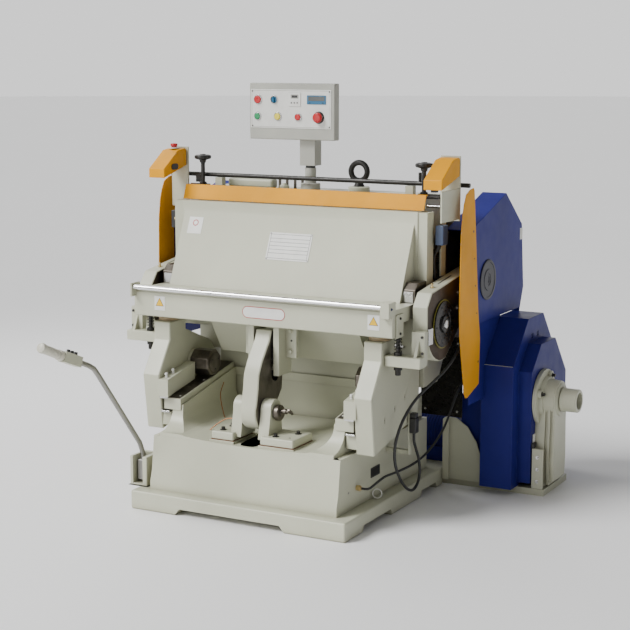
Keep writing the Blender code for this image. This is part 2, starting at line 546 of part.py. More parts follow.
def make_console():
    """Control console with its square sleeve, and the six controls on its face."""
    pivot = (CONSOLE_POST_X, CONSOLE_POST_Y + 0.02, 1.45)
    box = block("console_box", (CONSOLE_LEFT, CONSOLE_FRONT, CONSOLE_BOTTOM),
                (CONSOLE_RIGHT, CONSOLE_FRONT + 0.045, CONSOLE_TOP), "grey", pivot, bevel=0.003)
    unite(box, [block("console_sleeve", (CONSOLE_POST_X - 0.036, CONSOLE_POST_Y - 0.010, 1.3945),
                      (CONSOLE_POST_X + 0.036, CONSOLE_POST_Y + 0.050, 1.51)),
                block("console_gusset", (CONSOLE_POST_X - 0.036, CONSOLE_FRONT + 0.03, 1.49),
                      (CONSOLE_POST_X + 0.036, CONSOLE_POST_Y + 0.050, 1.60))])
    face = CONSOLE_FRONT - GAP
    controls = (("start_button_red", -0.265, 1.672, 0.0165, 0.010, "red"),
                ("run_button_green", -0.267, 1.601, 0.0135, 0.010, "green"),
                ("jog_button_amber", -0.168, 1.601, 0.0145, 0.010, "amber"),
                ("stop_button_red", -0.069, 1.600, 0.0135, 0.010, "red"),
                ("console_estop", 0.030, 1.600, 0.0215, 0.024, "red"),
                ("mode_selector", -0.185, 1.672, 0.0145, 0.014, "teal"))
    pockets = []
    for name, x, z, radius, height, finish in controls:
        rod(name, "Y", (x, face, z), radius, -height, 0.0, finish, None, 20)
        if name != "mode_selector":
            pockets.append(rod("pocket", "Y", (x, CONSOLE_FRONT, z), radius + BUTTON_PLAY, -0.01,
                               BUTTON_POCKET, segments=20))
    cut(box, pockets)


def make_wedge_estop():
    """Mushroom button on the left wedge box."""
    stations = [(1.4570, 0.012), (1.466, 0.012), (1.4665, 0.0155), (1.476, 0.0155), (1.478, 0.013)]
    turned("wedge_estop", stations, "Z", (-0.650, 0.125, 0), "red", (-0.650, 0.125, 1.46), 20)


def make_lever():
    """Clutch hand lever in its housing, with a grip and three buttons."""
    housing = block("lever_housing", (LEVER_X - 0.045, LEVER_Y - 0.055, FLANGE_TOP + GAP),
                    (LEVER_X + 0.040, LEVER_Y + 0.055, 0.205), "cream", bevel=0.003)
    cut(housing, [block("lever_slot", (LEVER_X - 0.030, LEVER_Y - 0.10, 0.088),
                        (LEVER_X + 0.018, LEVER_Y + 0.035, 0.30))])
    pivot = (LEVER_X - 0.006, LEVER_Y, LEVER_Z)
    x = LEVER_X - 0.006
    socket = block("hand_lever", (x - 0.017, LEVER_Y - 0.030, 0.098), (x + 0.017, LEVER_Y + 0.020, 0.185),
                   "steel", pivot, bevel=0.002)
    path = [(LEVER_Y - 0.008, 0.15), (LEVER_Y - 0.016, 0.215), (LEVER_Y - 0.036, 0.260), (-0.662, 0.602),
            (-0.690, 0.632), (-0.722, 0.650), (-0.800, 0.682)]
    unite(socket, [tube("lever_rod", x, path, 0.0108)])
    grip_path = [(-0.785, 0.676), (-0.79, 0.678), (-0.882, 0.714), (-0.890, 0.717)]
    grip = tube_box("lever_grip", x, grip_path[0], grip_path[-1], 0.017, 0.021)
    unite(grip, [tube("grip_handle", x, [(-0.880, 0.713), (-0.94, 0.738), (-1.02, 0.770)], 0.0155)])
    pockets = [tube("grip_bore", x, [(-0.70, 0.6410), (-0.830, 0.6943)], 0.0118)]
    slope = math.atan2(0.717 - 0.676, -0.890 + 0.785)
    up_y, up_z = math.sin(slope), -math.cos(slope)
    lift = 0.021 + GAP
    for number, along in enumerate((0.030, 0.055, 0.080)):
        y = -0.785 + along * math.cos(slope) + up_y * lift
        z = 0.676 + along * math.sin(slope) + up_z * lift
        button = rod("lever_button_%d" % (number + 1), "Z", (x, y, z), 0.0075, 0.0, 0.012, "black", None, 12)
        button.rotation_euler = (slope - math.pi, 0, 0)
        pocket = rod("button_pocket", "Z", (x, y, z), 0.0075 + BUTTON_PLAY, -BUTTON_POCKET, 0.02, segments=12)
        pocket.rotation_euler = button.rotation_euler
        pockets.append(pocket)
    cut(grip, pockets)


def tube(name, x, path, radius):
    """A round bar along (y, z) points in the plane of constant x."""
    bm = bmesh.new()
    rings = []
    points = [Vector((x, y, z)) for y, z in path]
    segments = 12
    for index, point in enumerate(points):
        before = points[max(index - 1, 0)]
        after = points[min(index + 1, len(points) - 1)]
        direction = (after - before).normalized()
        normal = direction.cross(Vector((1, 0, 0)))
        ring = []
        for step in range(segments):
            angle = 2 * math.pi * step / segments
            offset = Vector((1, 0, 0)) * math.cos(angle) + normal * math.sin(angle)
            ring.append(bm.verts.new(point + offset * radius))
        rings.append(ring)
    for lower, upper in zip(rings, rings[1:]):
        for step in range(segments):
            following = (step + 1) % segments
            bm.faces.new((lower[step], lower[following], upper[following], upper[step]))
    bm.faces.new(list(reversed(rings[0])))
    bm.faces.new(rings[-1])
    return to_object(name, bm, "ivory", (0, 0, 0), smooth=True)


def tube_box(name, x, start, end, half_width, half_height):
    """A rectangular bar between two (y, z) points."""
    first, last = Vector((x, *start)), Vector((x, *end))
    direction = (last - first).normalized()
    normal = direction.cross(Vector((1, 0, 0)))
    bm = bmesh.new()
    rings = []
    for point in (first, last):
        ring = [bm.verts.new(point + Vector((half_width * a, 0, 0)) + normal * half_height * b)
                for a, b in ((-1, -1), (1, -1), (1, 1), (-1, 1))]
        rings.append(ring)
    for step in range(4):
        following = (step + 1) % 4
        bm.faces.new((rings[0][step], rings[0][following], rings[1][following], rings[1][step]))
    bm.faces.new(list(reversed(rings[0])))
    bm.faces.new(rings[1])
    return to_object(name, bm, "ivory", (x, *start))


def smooth_route(points, spacing):
    """Evenly spaced points on a Catmull-Rom curve through a route's own points."""
    knots = [Vector(p) for p in points]
    knots = [knots[0] * 2 - knots[1], *knots, knots[-1] * 2 - knots[-2]]
    dense = []
    for before, start, end, after in zip(knots, knots[1:], knots[2:], knots[3:]):
        for step in range(24):
            t = step / 24
            linear = (end - before) * t
            square = (2 * before - 5 * start + 4 * end - after) * t ** 2
            cube = (3 * start - before - 3 * end + after) * t ** 3
            dense.append(0.5 * (2 * start + linear + square + cube))
    dense.append(knots[-2])
    total = sum((b - a).length for a, b in zip(dense, dense[1:]))
    count = max(2, round(total / spacing))
    picked, travelled, target = [dense[0]], 0.0, total / count
    for a, b in zip(dense, dense[1:]):
        travelled += (b - a).length
        if travelled >= target * len(picked) and len(picked) < count:
            picked.append(b)
    picked.append(dense[-1])
    return picked


def make_cable(name, route, diameter):
    """A plain round cable along its route."""
    curve = bpy.data.curves.new(name, "CURVE")
    curve.dimensions = "3D"
    curve.bevel_depth = diameter / 2
    curve.bevel_resolution = 2
    curve.use_fill_caps = True
    spline = curve.splines.new("POLY")
    points = smooth_route(route, diameter * 2.2)
    spline.points.add(len(points) - 1)
    for point, place in zip(spline.points, points):
        point.co = (*place, 1.0)
    add_curve = bpy.data.objects.new(name, curve)
    bpy.context.scene.collection.objects.link(add_curve)
    curve.materials.append(paint("rubber"))


def make_cables():
    """Two cables on the right side and the socket that one plugs into."""
    make_cable("drive_cable", DRIVE_CABLE_ROUTE, DRIVE_CABLE_DIAMETER)
    make_cable("control_cable", CONTROL_CABLE_ROUTE, CONTROL_CABLE_DIAMETER)
    block("cable_socket", (0.5443, 0.017, 0.335), (0.573, 0.053, 0.420), "black", bevel=0.002)


def main():
    """Build every sub-part."""
    clear_scene()
    make_base()
    make_bed()
    make_chase()
    for side, label in ((-1, "left"), (1, "right")):
        make_saddle(side, label)
        make_pad(side, label)
        make_slide_block(side, label)
        make_drawbar(side, label)
        make_stop_bracket(side, label)
        make_spring_bolt(side, label)
        make_top(side, label)
    make_gear_cover(-1, "left", 0.60)
    make_gear_cover(1, "right", 0.76)
    make_platen()
    make_platen_fittings()
    make_arm()
    make_pillows()
    make_crank()
    make_drive_cover()
    make_drive()
    make_clamp()
    make_crown()
    make_console()
    make_wedge_estop()
    make_lever()
    make_cables()


main()
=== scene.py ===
"""Looks of the creasing and die-cutting press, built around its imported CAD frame."""

import math

import bmesh
import bpy
from mathutils import Matrix, Vector


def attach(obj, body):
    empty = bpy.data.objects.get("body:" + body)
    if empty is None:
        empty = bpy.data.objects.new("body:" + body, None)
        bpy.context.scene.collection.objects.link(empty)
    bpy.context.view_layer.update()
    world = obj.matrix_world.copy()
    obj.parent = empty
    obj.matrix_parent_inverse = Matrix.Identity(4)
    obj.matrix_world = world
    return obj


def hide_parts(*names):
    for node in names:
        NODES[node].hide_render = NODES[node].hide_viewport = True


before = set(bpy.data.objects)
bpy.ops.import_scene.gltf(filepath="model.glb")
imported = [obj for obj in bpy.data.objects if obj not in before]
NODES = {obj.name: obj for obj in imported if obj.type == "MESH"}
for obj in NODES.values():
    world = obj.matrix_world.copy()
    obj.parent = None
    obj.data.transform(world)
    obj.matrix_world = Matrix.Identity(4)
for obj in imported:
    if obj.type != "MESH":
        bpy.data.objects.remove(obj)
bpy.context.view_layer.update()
UP, RIGHT = Vector((0, 0, 1)), Vector((1, 0, 0))
SIDES = ((-1, "left"), (1, "right"))


# ---------------------------------------------------------------- shader maths

class Wire:
    """One socket of a material, with the arithmetic that its patterns need."""

    def __init__(self, paint, socket):
        self.paint, self.socket = paint, socket

    def __add__(self, other):
        return self.paint.maths("ADD", self, other)

    def __sub__(self, other):
        return self.paint.maths("SUBTRACT", self, other)

    def __rsub__(self, other):
        return self.paint.maths("SUBTRACT", other, self)

    def __mul__(self, other):
        return self.paint.maths("MULTIPLY", self, other)

    def __truediv__(self, other):
        return self.paint.maths("DIVIDE", self, other)

    __radd__ = __add__
    __rmul__ = __mul__


class Paint:
    """A Principled material and the nodes that vary it."""

    def __init__(self, name, colour, roughness, metallic=0.0, **uniform):
        self.material = bpy.data.materials.new(name)
        self.material.use_nodes = True
        self.tree = self.material.node_tree
        self.shader = self.tree.nodes["Principled BSDF"]
        self.colour = (*colour, 1.0)
        self.shader.inputs["Base Color"].default_value = self.colour
        self.shader.inputs["Roughness"].default_value = roughness
        self.shader.inputs["Metallic"].default_value = metallic
        for label, value in uniform.items():
            self.shader.inputs[label.replace("_", " ")].default_value = value
        self.place = self.node("ShaderNodeTexCoord", output="Object")

    def feed(self, socket, value):
        """Join a wire to a socket, or set the socket's own value."""
        if isinstance(value, Wire):
            self.tree.links.new(value.socket, socket)
        else:
            socket.default_value = value

    def node(self, kind, settings=None, output=0, inputs=None):
        """Add a node: its settings first, then its inputs by name or number."""
        made = self.tree.nodes.new(kind)
        for key, value in (settings or {}).items():
            if key == "stops":
                self.set_stops(made.color_ramp, value)
            else:
                setattr(made, key, value)
        for key, value in (inputs or {}).items():
            self.feed(made.inputs[key], value)
        return Wire(self, made.outputs[output])

    @staticmethod
    def set_stops(ramp, stops):
        """Give a colour ramp its stops: (place, grey level)."""
        while len(ramp.elements) > len(stops):
            ramp.elements.remove(ramp.elements[-1])
        while len(ramp.elements) < len(stops):
            ramp.elements.new(1.0)
        for element, (place, level) in zip(ramp.elements, stops):
            element.position = place
            element.color = (level, level, level, 1.0)

    def maths(self, operation, first, second):
        """One step of arithmetic on two wires or numbers."""
        return self.node("ShaderNodeMath", {"operation": operation}, inputs={0: first, 1: second})

    def noise(self, scale, detail=2.0, stretch=None):
        """Noise on the object's own coordinates, stretched along an axis where asked."""
        place = self.place
        if stretch:
            place = self.node("ShaderNodeMapping", inputs={"Vector": place, "Scale": stretch})
        return self.node("ShaderNodeTexNoise", inputs={"Vector": place, "Scale": scale, "Detail": detail})

    def ramp(self, value, low, high):
        """0 below low, 1 above high."""
        return self.node("ShaderNodeValToRGB", {"stops": [(low, 0.0), (high, 1.0)]}, inputs={0: value})

    def mix(self, factor, first, second):
        """Blend two colours."""
        return self.node("ShaderNodeMix", {"data_type": "RGBA"}, 2, {0: factor, 6: first, 7: second})

    def crevices(self, reach):
        """Ambient occlusion: 1 where the surface is open, towards 0 in corners; it paints shade into
        corners.
        """
        return self.node("ShaderNodeAmbientOcclusion", {"samples": 6}, "AO", {"Distance": reach})

    def edges(self, width):
        """1 on rounded edges, 0 on flat stretches."""
        rounded = self.node("ShaderNodeBevel", {"samples": 4}, inputs={"Radius": width})
        flat = self.node("ShaderNodeNewGeometry", output="Normal")
        dot = self.node("ShaderNodeVectorMath", {"operation": "DOT_PRODUCT"}, "Value", {0: rounded, 1: flat})
        return self.ramp(1 - dot, 0.005, 0.06)

    def finish(self, colour=None, roughness=None, height=None, distance=0.001, strength=0.5):
        """Join the patterns to the shader."""
        if colour is not None:
            self.feed(self.shader.inputs["Base Color"], colour)
        if roughness is not None:
            self.feed(self.shader.inputs["Roughness"], roughness)
        if height is not None:
            bump = self.node("ShaderNodeBump", inputs={"Height": height, "Distance": distance,
                                                       "Strength": strength})
            self.feed(self.shader.inputs["Normal"], bump)
        return self.material


def shade(colour, factor):
    """A colour made lighter or darker, as an RGBA value."""
    return tuple(min(1.0, channel * factor) for channel in colour[:3]) + (1.0,)


# ---------------------------------------------------------------- finishes

def cast_paint(name, colour, gloss=0.36):
    """Brushed enamel over filled cast iron: soft mottling, painted shade with some grime in corners, faint
    orange peel.
    """
    paint = Paint(name, colour, gloss, Specular_IOR_Level=0.45)
    cloud = paint.noise(2.2, 4.0)
    tone = paint.mix(paint.ramp(cloud, 0.35, 0.68), shade(colour, 0.93), shade(colour, 1.05))
    # Painted shade: ambient occlusion darkens corners and crevices with a brownish tone, broken up by noise
    # as grime.
    shade_and_grime = paint.ramp(paint.crevices(0.05) + paint.noise(9.0, 4.0) * 0.25, 0.30, 0.95)
    tone = paint.mix(shade_and_grime, shade((colour[0] * 0.98, colour[1] * 0.94, colour[2] * 0.86), 0.62), tone)
    fleck = paint.ramp(paint.noise(420.0, 2.0), 0.30, 0.36)
    tone = paint.mix(fleck, shade(colour, 0.80), tone)
    height = paint.noise(230.0, 2.0) * 0.25 + paint.noise(16.0, 3.0)
    return paint.finish(tone, paint.noise(7.0, 3.0) * 0.20 + (gloss - 0.08), height, 0.0012, 0.20)


def sheet_paint(name, colour, gloss=0.30, chip=(0.35, 0.35, 0.33), level=0.22):
    """Sprayed enamel on sheet steel: orange peel, painted shade in corners, thin worn edges and a few rubs.
    """
    paint = Paint(name, colour, gloss, Specular_IOR_Level=level)
    cloud = paint.noise(3.0, 3.0)
    tone = paint.mix(paint.ramp(cloud, 0.35, 0.65), shade(colour, 0.88), shade(colour, 1.08))
    # Painted shade: ambient occlusion darkens corners and crevices, broken up by noise as grime.
    shade_and_grime = paint.ramp(paint.crevices(0.04) + paint.noise(12.0, 4.0) * 0.3, 0.25, 0.85)
    tone = paint.mix(shade_and_grime, shade(colour, 0.55), tone)
    worn = paint.edges(0.003) * paint.ramp(paint.noise(55.0, 5.0), 0.56, 0.64)
    tone = paint.mix(worn, tone, (*chip, 1.0))
    return paint.finish(tone, paint.noise(18.0, 3.0) * 0.22 + (gloss - 0.10),
                        paint.noise(300.0, 2.0) + paint.noise(9.0, 2.0) * 2.0, 0.0006, 0.16)


def machined(name, colour, stretch, gloss=0.34, metallic=0.9, stain=(0.055, 0.045, 0.035)):
    """Planed or ground steel with its tool lines along one axis, oil-stained."""
    paint = Paint(name, colour, gloss, metallic)
    lines = paint.noise(260.0, 3.0, stretch)
    tone = paint.mix(lines, shade(colour, 0.72), shade(colour, 1.18))
    oil = paint.ramp(paint.noise(11.0, 5.0), 0.46, 0.70)
    tone = paint.mix(oil, tone, (*stain, 1.0))
    rough = lines * 0.25 + paint.noise(14.0, 3.0) * 0.2 + (gloss - 0.2)
    return paint.finish(tone, rough, lines, 0.0002, 0.25)


def blackened(name, colour=(0.035, 0.034, 0.032), gloss=0.38):
    """Black-oxide steel with bright rubbed edges."""
    paint = Paint(name, colour, gloss, 0.75)
    rubbed = paint.edges(0.0016) * paint.ramp(paint.noise(90.0, 4.0), 0.42, 0.62)
    tone = paint.mix(paint.noise(35.0, 4.0), shade(colour, 0.7), shade(colour, 1.6))
    tone = paint.mix(rubbed, tone, (0.26, 0.25, 0.24, 1.0))
    rough = paint.noise(60.0, 3.0) * 0.3 + (gloss - 0.12)
    return paint.finish(tone, rough, paint.noise(160.0, 3.0), 0.0003, 0.3)


def moulded(name, colour, gloss=0.32, grain=500.0, **uniform):
    """Moulded plastic or rubber with a fine grain and painted shade in its corners."""
    paint = Paint(name, colour, gloss, **uniform)
    tone = paint.mix(paint.noise(25.0, 3.0), shade(colour, 0.86), shade(colour, 1.10))
    # Painted shade: ambient occlusion darkens the corners.
    corner_shade = paint.ramp(paint.crevices(0.006), 0.2, 0.9)
    tone = paint.mix(corner_shade, shade(colour, 0.55), tone)
    rough = paint.noise(40.0, 3.0) * 0.16 + (gloss - 0.07)
    return paint.finish(tone, rough, paint.noise(grain, 2.0), 0.0002, 0.2)


def bright_metal(name, colour, gloss=0.16, stretch=(1.0, 1.0, 1.0)):
    """Chromed, ground or brass turned metal."""
    paint = Paint(name, colour, gloss, 1.0)
    lines = paint.noise(320.0, 2.0, stretch)
    tone = paint.mix(paint.noise(20.0, 4.0), shade(colour, 0.82), shade(colour, 1.06))
    rough = lines * 0.16 + paint.noise(12.0, 3.0) * 0.10 + (gloss - 0.08)
    return paint.finish(tone, rough, lines, 0.00008, 0.2)


CREAM = (0.560, 0.565, 0.436)
FINISH = {
    "cream": (cast_paint("cream_enamel", CREAM), "cream_paint"),
    "yellow": (sheet_paint("yellow_enamel", (0.80, 0.35, 0.003), 0.42, level=0.14), "yellow_paint"),
    "blue": (sheet_paint("blue_enamel", (0.020, 0.023, 0.190), 0.36, (0.05, 0.06, 0.12), 0.11),
             "blue_paint"),
    "grey": (sheet_paint("console_grey", (0.44, 0.44, 0.39), 0.42), "grey_paint"),
    "white": (moulded("panel_white", (0.74, 0.74, 0.70), 0.40, 900.0), "grey_paint"),
    "black": (blackened("black_oxide"), "black_steel"),
    "dark_steel": (machined("planed_steel", (0.17, 0.15, 0.125), (1.0, 0.06, 1.0)), "dark_steel"),
    "side_steel": (machined("machined_side", (0.22, 0.20, 0.175), (1.0, 1.0, 0.08), 0.42), "dark_steel"),
    "brown_steel": (machined("oiled_flank", (0.10, 0.075, 0.055), (1.0, 0.08, 1.0), 0.44), "dark_steel"),
    "slate": (moulded("switch_grey", (0.06, 0.09, 0.17), 0.40), "black_plastic"),
    "steel": (bright_metal("bright_steel", (0.62, 0.62, 0.61), 0.20), "bright_steel"),
    "brass": (bright_metal("brass", (0.72, 0.56, 0.28), 0.26), "bright_steel"),
    "copper": (bright_metal("copper_pipe", (0.42, 0.20, 0.10), 0.38), "bright_steel"),
    "tan": (moulded("bronze_pad", (0.40, 0.30, 0.17), 0.45, 700.0), "tan_pad"),
    "rubber": (moulded("cable_rubber", (0.022, 0.022, 0.022), 0.48, 900.0), "cable_rubber"),
    "plastic": (moulded("black_plastic", (0.028, 0.028, 0.028), 0.40, 900.0), "black_plastic"),
    "red": (moulded("red_plastic", (0.52, 0.012, 0.016), 0.28), "red_plastic"),
    "green": (moulded("green_plastic", (0.012, 0.30, 0.10), 0.28), "green_plastic"),
    "amber": (moulded("amber_plastic", (0.78, 0.66, 0.05), 0.28), "amber_plastic"),
    "teal": (moulded("teal_plastic", (0.01, 0.13, 0.26), 0.30), "teal_plastic"),
    "chrome": (bright_metal("chrome", (0.80, 0.80, 0.80), 0.11, (0.05, 1.0, 1.0)), "bright_steel"),
    "lever_steel": (bright_metal("lever_steel", (0.34, 0.33, 0.31), 0.42), "cream_paint"),
    "hub": (bright_metal("hub_steel", (0.10, 0.10, 0.11), 0.40), "blue_paint"),
    "oily": (blackened("oily_steel", (0.018, 0.017, 0.016), 0.26), "dark_steel"),
    "lime": (moulded("rim_enamel", (0.20, 0.18, 0.02), 0.35), "yellow_paint"),
    "gasket": (moulded("gasket", (0.20, 0.07, 0.035), 0.55), "tan_pad"),
    "grip": (moulded("ivory_grip", (0.62, 0.60, 0.50), 0.36), "cream_paint"),
    "glass": (moulded("display_glass", (0.06, 0.065, 0.06), 0.12), "black_plastic"),
    "red_print": (moulded("red_print", (0.50, 0.03, 0.03), 0.40), "red_plastic"),
    "amber_print": (moulded("amber_print", (0.82, 0.50, 0.01), 0.40), "amber_plastic"),
    "label": (moulded("label_film", (0.78, 0.78, 0.74), 0.35, 1200.0), "grey_paint"),
}


# ---------------------------------------------------------------- shapes

def box_shape(low, high):
    """A box between two corners."""
    bm = bmesh.new()
    bmesh.ops.create_cube(bm, size=1.0)
    bmesh.ops.scale(bm, vec=Vector(high) - Vector(low), verts=bm.verts)
    bmesh.ops.translate(bm, vec=(Vector(low) + Vector(high)) / 2, verts=bm.verts)
    return bm


def mirrored(side, inner, outer):
    """Low and high x of a stretch that is given for the right-hand side."""
    return sorted((side * inner, side * outer))


def side_box(side, low, high):
    """A box given for the right-hand side, mirrored where side is -1."""
    left, right = mirrored(side, low[0], high[0])
    return box_shape((left, *low[1:]), (right, *high[1:]))


def sweep_shape(outline, start, along):
    """A closed outline of points, extruded along a vector."""
    bm = bmesh.new()
    face = bm.faces.new([bm.verts.new(Vector(p) + Vector(start)) for p in outline])
    grown = bmesh.ops.extrude_face_region(bm, geom=[face])
    bmesh.ops.translate(bm, vec=along, verts=[v for v in grown["geom"] if isinstance(v, bmesh.types.BMVert)])
    bmesh.ops.recalc_face_normals(bm, faces=bm.faces)
    return bm


def side_profile(outline, x_low, x_high):
    """An outline of (y, z) points, extruded along X."""
    return sweep_shape([(0, y, z) for y, z in outline], (x_low, 0, 0), (x_high - x_low, 0, 0))


def front_profile(outline, y_low, y_high):
    """An outline of (x, z) points, extruded along Y."""
    return sweep_shape([(x, 0, z) for x, z in outline], (0, y_low, 0), (0, y_high - y_low, 0))


def lathe(stations, centre, axis="Z", steps=32):
    """A profile of (distance along the axis, radius), spun round it."""
    bm = bmesh.new()
    points = [(stations[0][0], 0.0), *stations, (stations[-1][0], 0.0)]
    verts = [bm.verts.new((radius, 0, along)) for along, radius in points]
    edges = [bm.edges.new(pair) for pair in zip(verts, verts[1:])]
    bmesh.ops.spin(bm, geom=verts + edges, cent=(0, 0, 0), axis=(0, 0, 1), angle=2 * math.pi, steps=steps,
                   use_merge=True)
    bmesh.ops.remove_doubles(bm, verts=bm.verts, dist=1e-6)
    turn = {"X": Matrix.Rotation(math.pi / 2, 4, "Y"), "Y": Matrix.Rotation(-math.pi / 2, 4, "X"),
            "Z": Matrix.Identity(4)}[axis]
    bmesh.ops.transform(bm, matrix=Matrix.Translation(Vector(centre)) @ turn, verts=bm.verts)
    bmesh.ops.recalc_face_normals(bm, faces=bm.faces)
    return bm


def arc(centre, radius, start, end, steps):
    """Points on an arc, angles in degrees."""
    turns = [math.radians(start + (end - start) * step / steps) for step in range(steps + 1)]
    return [(centre[0] + radius * math.cos(t), centre[1] + radius * math.sin(t)) for t in turns]


def circle(centre, radius, first, count):
    """Equally spaced points on a circle, the first at an angle in degrees."""
    return arc(centre, radius, first, first + 360 - 360 / count, count - 1)


def joined(shapes):
    """Several separate solids in one bmesh."""
    whole = bmesh.new()
    for shape in shapes:
        held = bpy.data.meshes.new("part")
        shape.to_mesh(held)
        shape.free()
        whole.from_mesh(held)
        bpy.data.meshes.remove(held)
    return whole


def combined(shape, tools, operation):
    """Weld or cut closed solids with the exact solver."""
    holders = []
    for item in (shape, *tools):
        held = bpy.data.meshes.new("step")
        item.to_mesh(held)
        item.free()
        holder = bpy.data.objects.new("step", held)
        bpy.context.scene.collection.objects.link(holder)
        holders.append(holder)
    for tool in holders[1:]:
        step = holders[0].modifiers.new("step", "BOOLEAN")
        step.operation = operation
        step.solver = "EXACT"
        step.object = tool
    bpy.context.view_layer.update()
    seen = holders[0].evaluated_get(bpy.context.evaluated_depsgraph_get())
    result = bmesh.new()
    result.from_mesh(seen.to_mesh())
    for holder in holders:
        held = holder.data
        bpy.data.objects.remove(holder)
        bpy.data.meshes.remove(held)
    return result


def welded(shape, *tools):
    """Solids welded into one."""
    return combined(shape, tools, "UNION")


def carved(shape, *tools):
    """A solid with the others cut out of it."""
    return combined(shape, tools, "DIFFERENCE")


def rounded(bm, width, segments=3, angle=28.0):
    """Flat faces joined, then the sharp edges rounded."""
    bmesh.ops.remove_doubles(bm, verts=bm.verts, dist=1e-5)
    bmesh.ops.dissolve_limit(bm, angle_limit=math.radians(0.6), verts=bm.verts, edges=bm.edges)
    sharp = [e for e in bm.edges if len(e.link_faces) == 2 and e.calc_face_angle() > math.radians(angle)]
    bmesh.ops.bevel(bm, geom=sharp, offset=width, segments=segments, profile=0.5, affect="EDGES",
                    material=-1, clamp_overlap=True)
    return bm


def publish(bm, name, finish, body="frame", replaces=(), even=True, angle=40.0, second=(), pick=None):
    """Make the piece: its mesh, finish and body; pick gives each face the number of its finish."""
    data = bpy.data.meshes.new(name)
    bm.to_mesh(data)
    bm.free()
    material, slot = FINISH[finish]
    data.materials.append(material)
    for extra in second:
        data.materials.append(FINISH[extra][0])
    if second:
        for polygon in data.polygons:
            polygon.material_index = int(pick(polygon))
    data.shade_smooth()
    data.set_sharp_from_angle(angle=math.radians(angle))
    piece = bpy.data.objects.new(name, data)
    bpy.context.scene.collection.objects.link(piece)
    if even:
        step = piece.modifiers.new("even_shading", "WEIGHTED_NORMAL")
        step.keep_sharp = True
    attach(piece, body)
    if replaces:
        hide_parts(*replaces)
    return piece


def node_shape(node):
    """A merged copy of a CAD node's mesh."""
    bm = bmesh.new()
    bm.from_mesh(NODES[node].data)
    bmesh.ops.remove_doubles(bm, verts=bm.verts, dist=1e-5)
    return bm


def softened(node, width, finish, body="frame", segments=3, angle=28.0):
    """A CAD node with its edges rounded."""
    return publish(rounded(node_shape(node), width, segments, angle), node + "_shell", finish, body, [node])


def turned(stations, centre, axis, steps=32):
    """A turned shape standing at its centre, along any axis."""
    return placed(lathe(stations, (0, 0, 0), "Z", steps), centre, axis)


def bolt(centre, axis, size, height=None, sides=6):
    """A hexagon head on its washer; the head stands along +axis."""
    height = height or size * 0.6
    washer = lathe([(0, size * 0.95), (size * 0.12, size * 0.95)], (0, 0, 0), "Z", 20)
    head = lathe([(size * 0.12, size * 0.62), (height, size * 0.62)], (0, 0, 0), "Z", sides)
    return placed(joined([washer, rounded(head, size * 0.06, 2)]), centre, axis)


def placed(bm, centre, axis):
    """A shape standing on the origin, moved to its centre and turned to its axis."""
    turn = Vector(axis).to_track_quat("Z", "Y").to_matrix().to_4x4()
    bmesh.ops.transform(bm, matrix=Matrix.Translation(Vector(centre)) @ turn, verts=bm.verts)
    return bm


def bolts(name, centres, axis, size, finish="black", body="frame", height=None):
    """A group of equal hexagon bolts."""
    return publish(joined([bolt(c, axis, size, height) for c in centres]), name, finish, body)


def screw(centre, axis, size):
    """A socket-head screw with its hexagon socket."""
    head = lathe([(0, size), (size * 0.75, size), (size * 0.9, size * 0.86)], (0, 0, 0), "Z", 20)
    head = carved(head, lathe([(size * 0.35, size * 0.5), (size * 2, size * 0.5)], (0, 0, 0), "Z", 6))
    return placed(head, centre, axis)


def screws(name, centres, axis, size, finish="black", body="frame"):
    """A group of equal socket screws."""
    return publish(joined([screw(c, axis, size) for c in centres]), name, finish, body, even=False)


def route(name, points, radius, finish, body="frame", spacing=0.012):
    """A pipe or cable: a curve through its own points."""
    curve = bpy.data.curves.new(name, "CURVE")
    curve.dimensions = "3D"
    curve.bevel_depth = radius
    curve.bevel_resolution = 4
    curve.use_fill_caps = True
    spline = curve.splines.new("POLY")
    path = smooth_path(points, spacing)
    spline.points.add(len(path) - 1)
    for point, place in zip(spline.points, path):
        point.co = (*place, 1.0)
    material, slot = FINISH[finish]
    curve.materials.append(material)
    piece = bpy.data.objects.new(name, curve)
    bpy.context.scene.collection.objects.link(piece)
    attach(piece, body)
    return piece


def smooth_path(points, spacing):
    """Evenly spaced points on a Catmull-Rom curve through a route's own points."""
    knots = [Vector(p) for p in points]
    knots = [knots[0] * 2 - knots[1], *knots, knots[-1] * 2 - knots[-2]]
    dense = []
    for before, start, end, after in zip(knots, knots[1:], knots[2:], knots[3:]):
        for step in range(24):
            t = step / 24
            dense.append(0.5 * (2 * start + (end - before) * t
                                + (2 * before - 5 * start + 4 * end - after) * t ** 2
                                + (3 * start - before - 3 * end + after) * t ** 3))
    dense.append(knots[-2])
    total = sum((b - a).length for a, b in zip(dense, dense[1:]))
    count = max(2, round(total / spacing))
    picked, travelled = [dense[0]], 0.0
    for a, b in zip(dense, dense[1:]):
        travelled += (b - a).length
        if travelled >= total / count * len(picked) and len(picked) < count:
            picked.append(b)
    picked.append(dense[-1])
    return picked


# ---------------------------------------------------------------- plain carried-over nodes

def soften_plain_nodes():
    """Nodes whose CAD shape is right and only needs rounded edges."""
    rows = (("bed_casting", 0.005, "cream", "frame"),
            ("die_chase", 0.002, "steel", "frame"),
            ("cutting_plate", 0.001, "steel", "platen"),
            ("crankshaft", 0.002, "steel", "crank"),
            ("bull_gear_left", 0.0012, "dark_steel", "crank"),
            ("bull_gear_right", 0.0012, "dark_steel", "crank"),
            ("platen_casting", 0.005, "cream", "platen"),
            ("safety_bar", 0.0012, "yellow", "safety_bar_body"),
            ("clamp_shaft", 0.0008, "black", "clamp"))
    for node, width, finish, body in rows:
        softened(node, width, finish, body)


# ---------------------------------------------------------------- base and ways

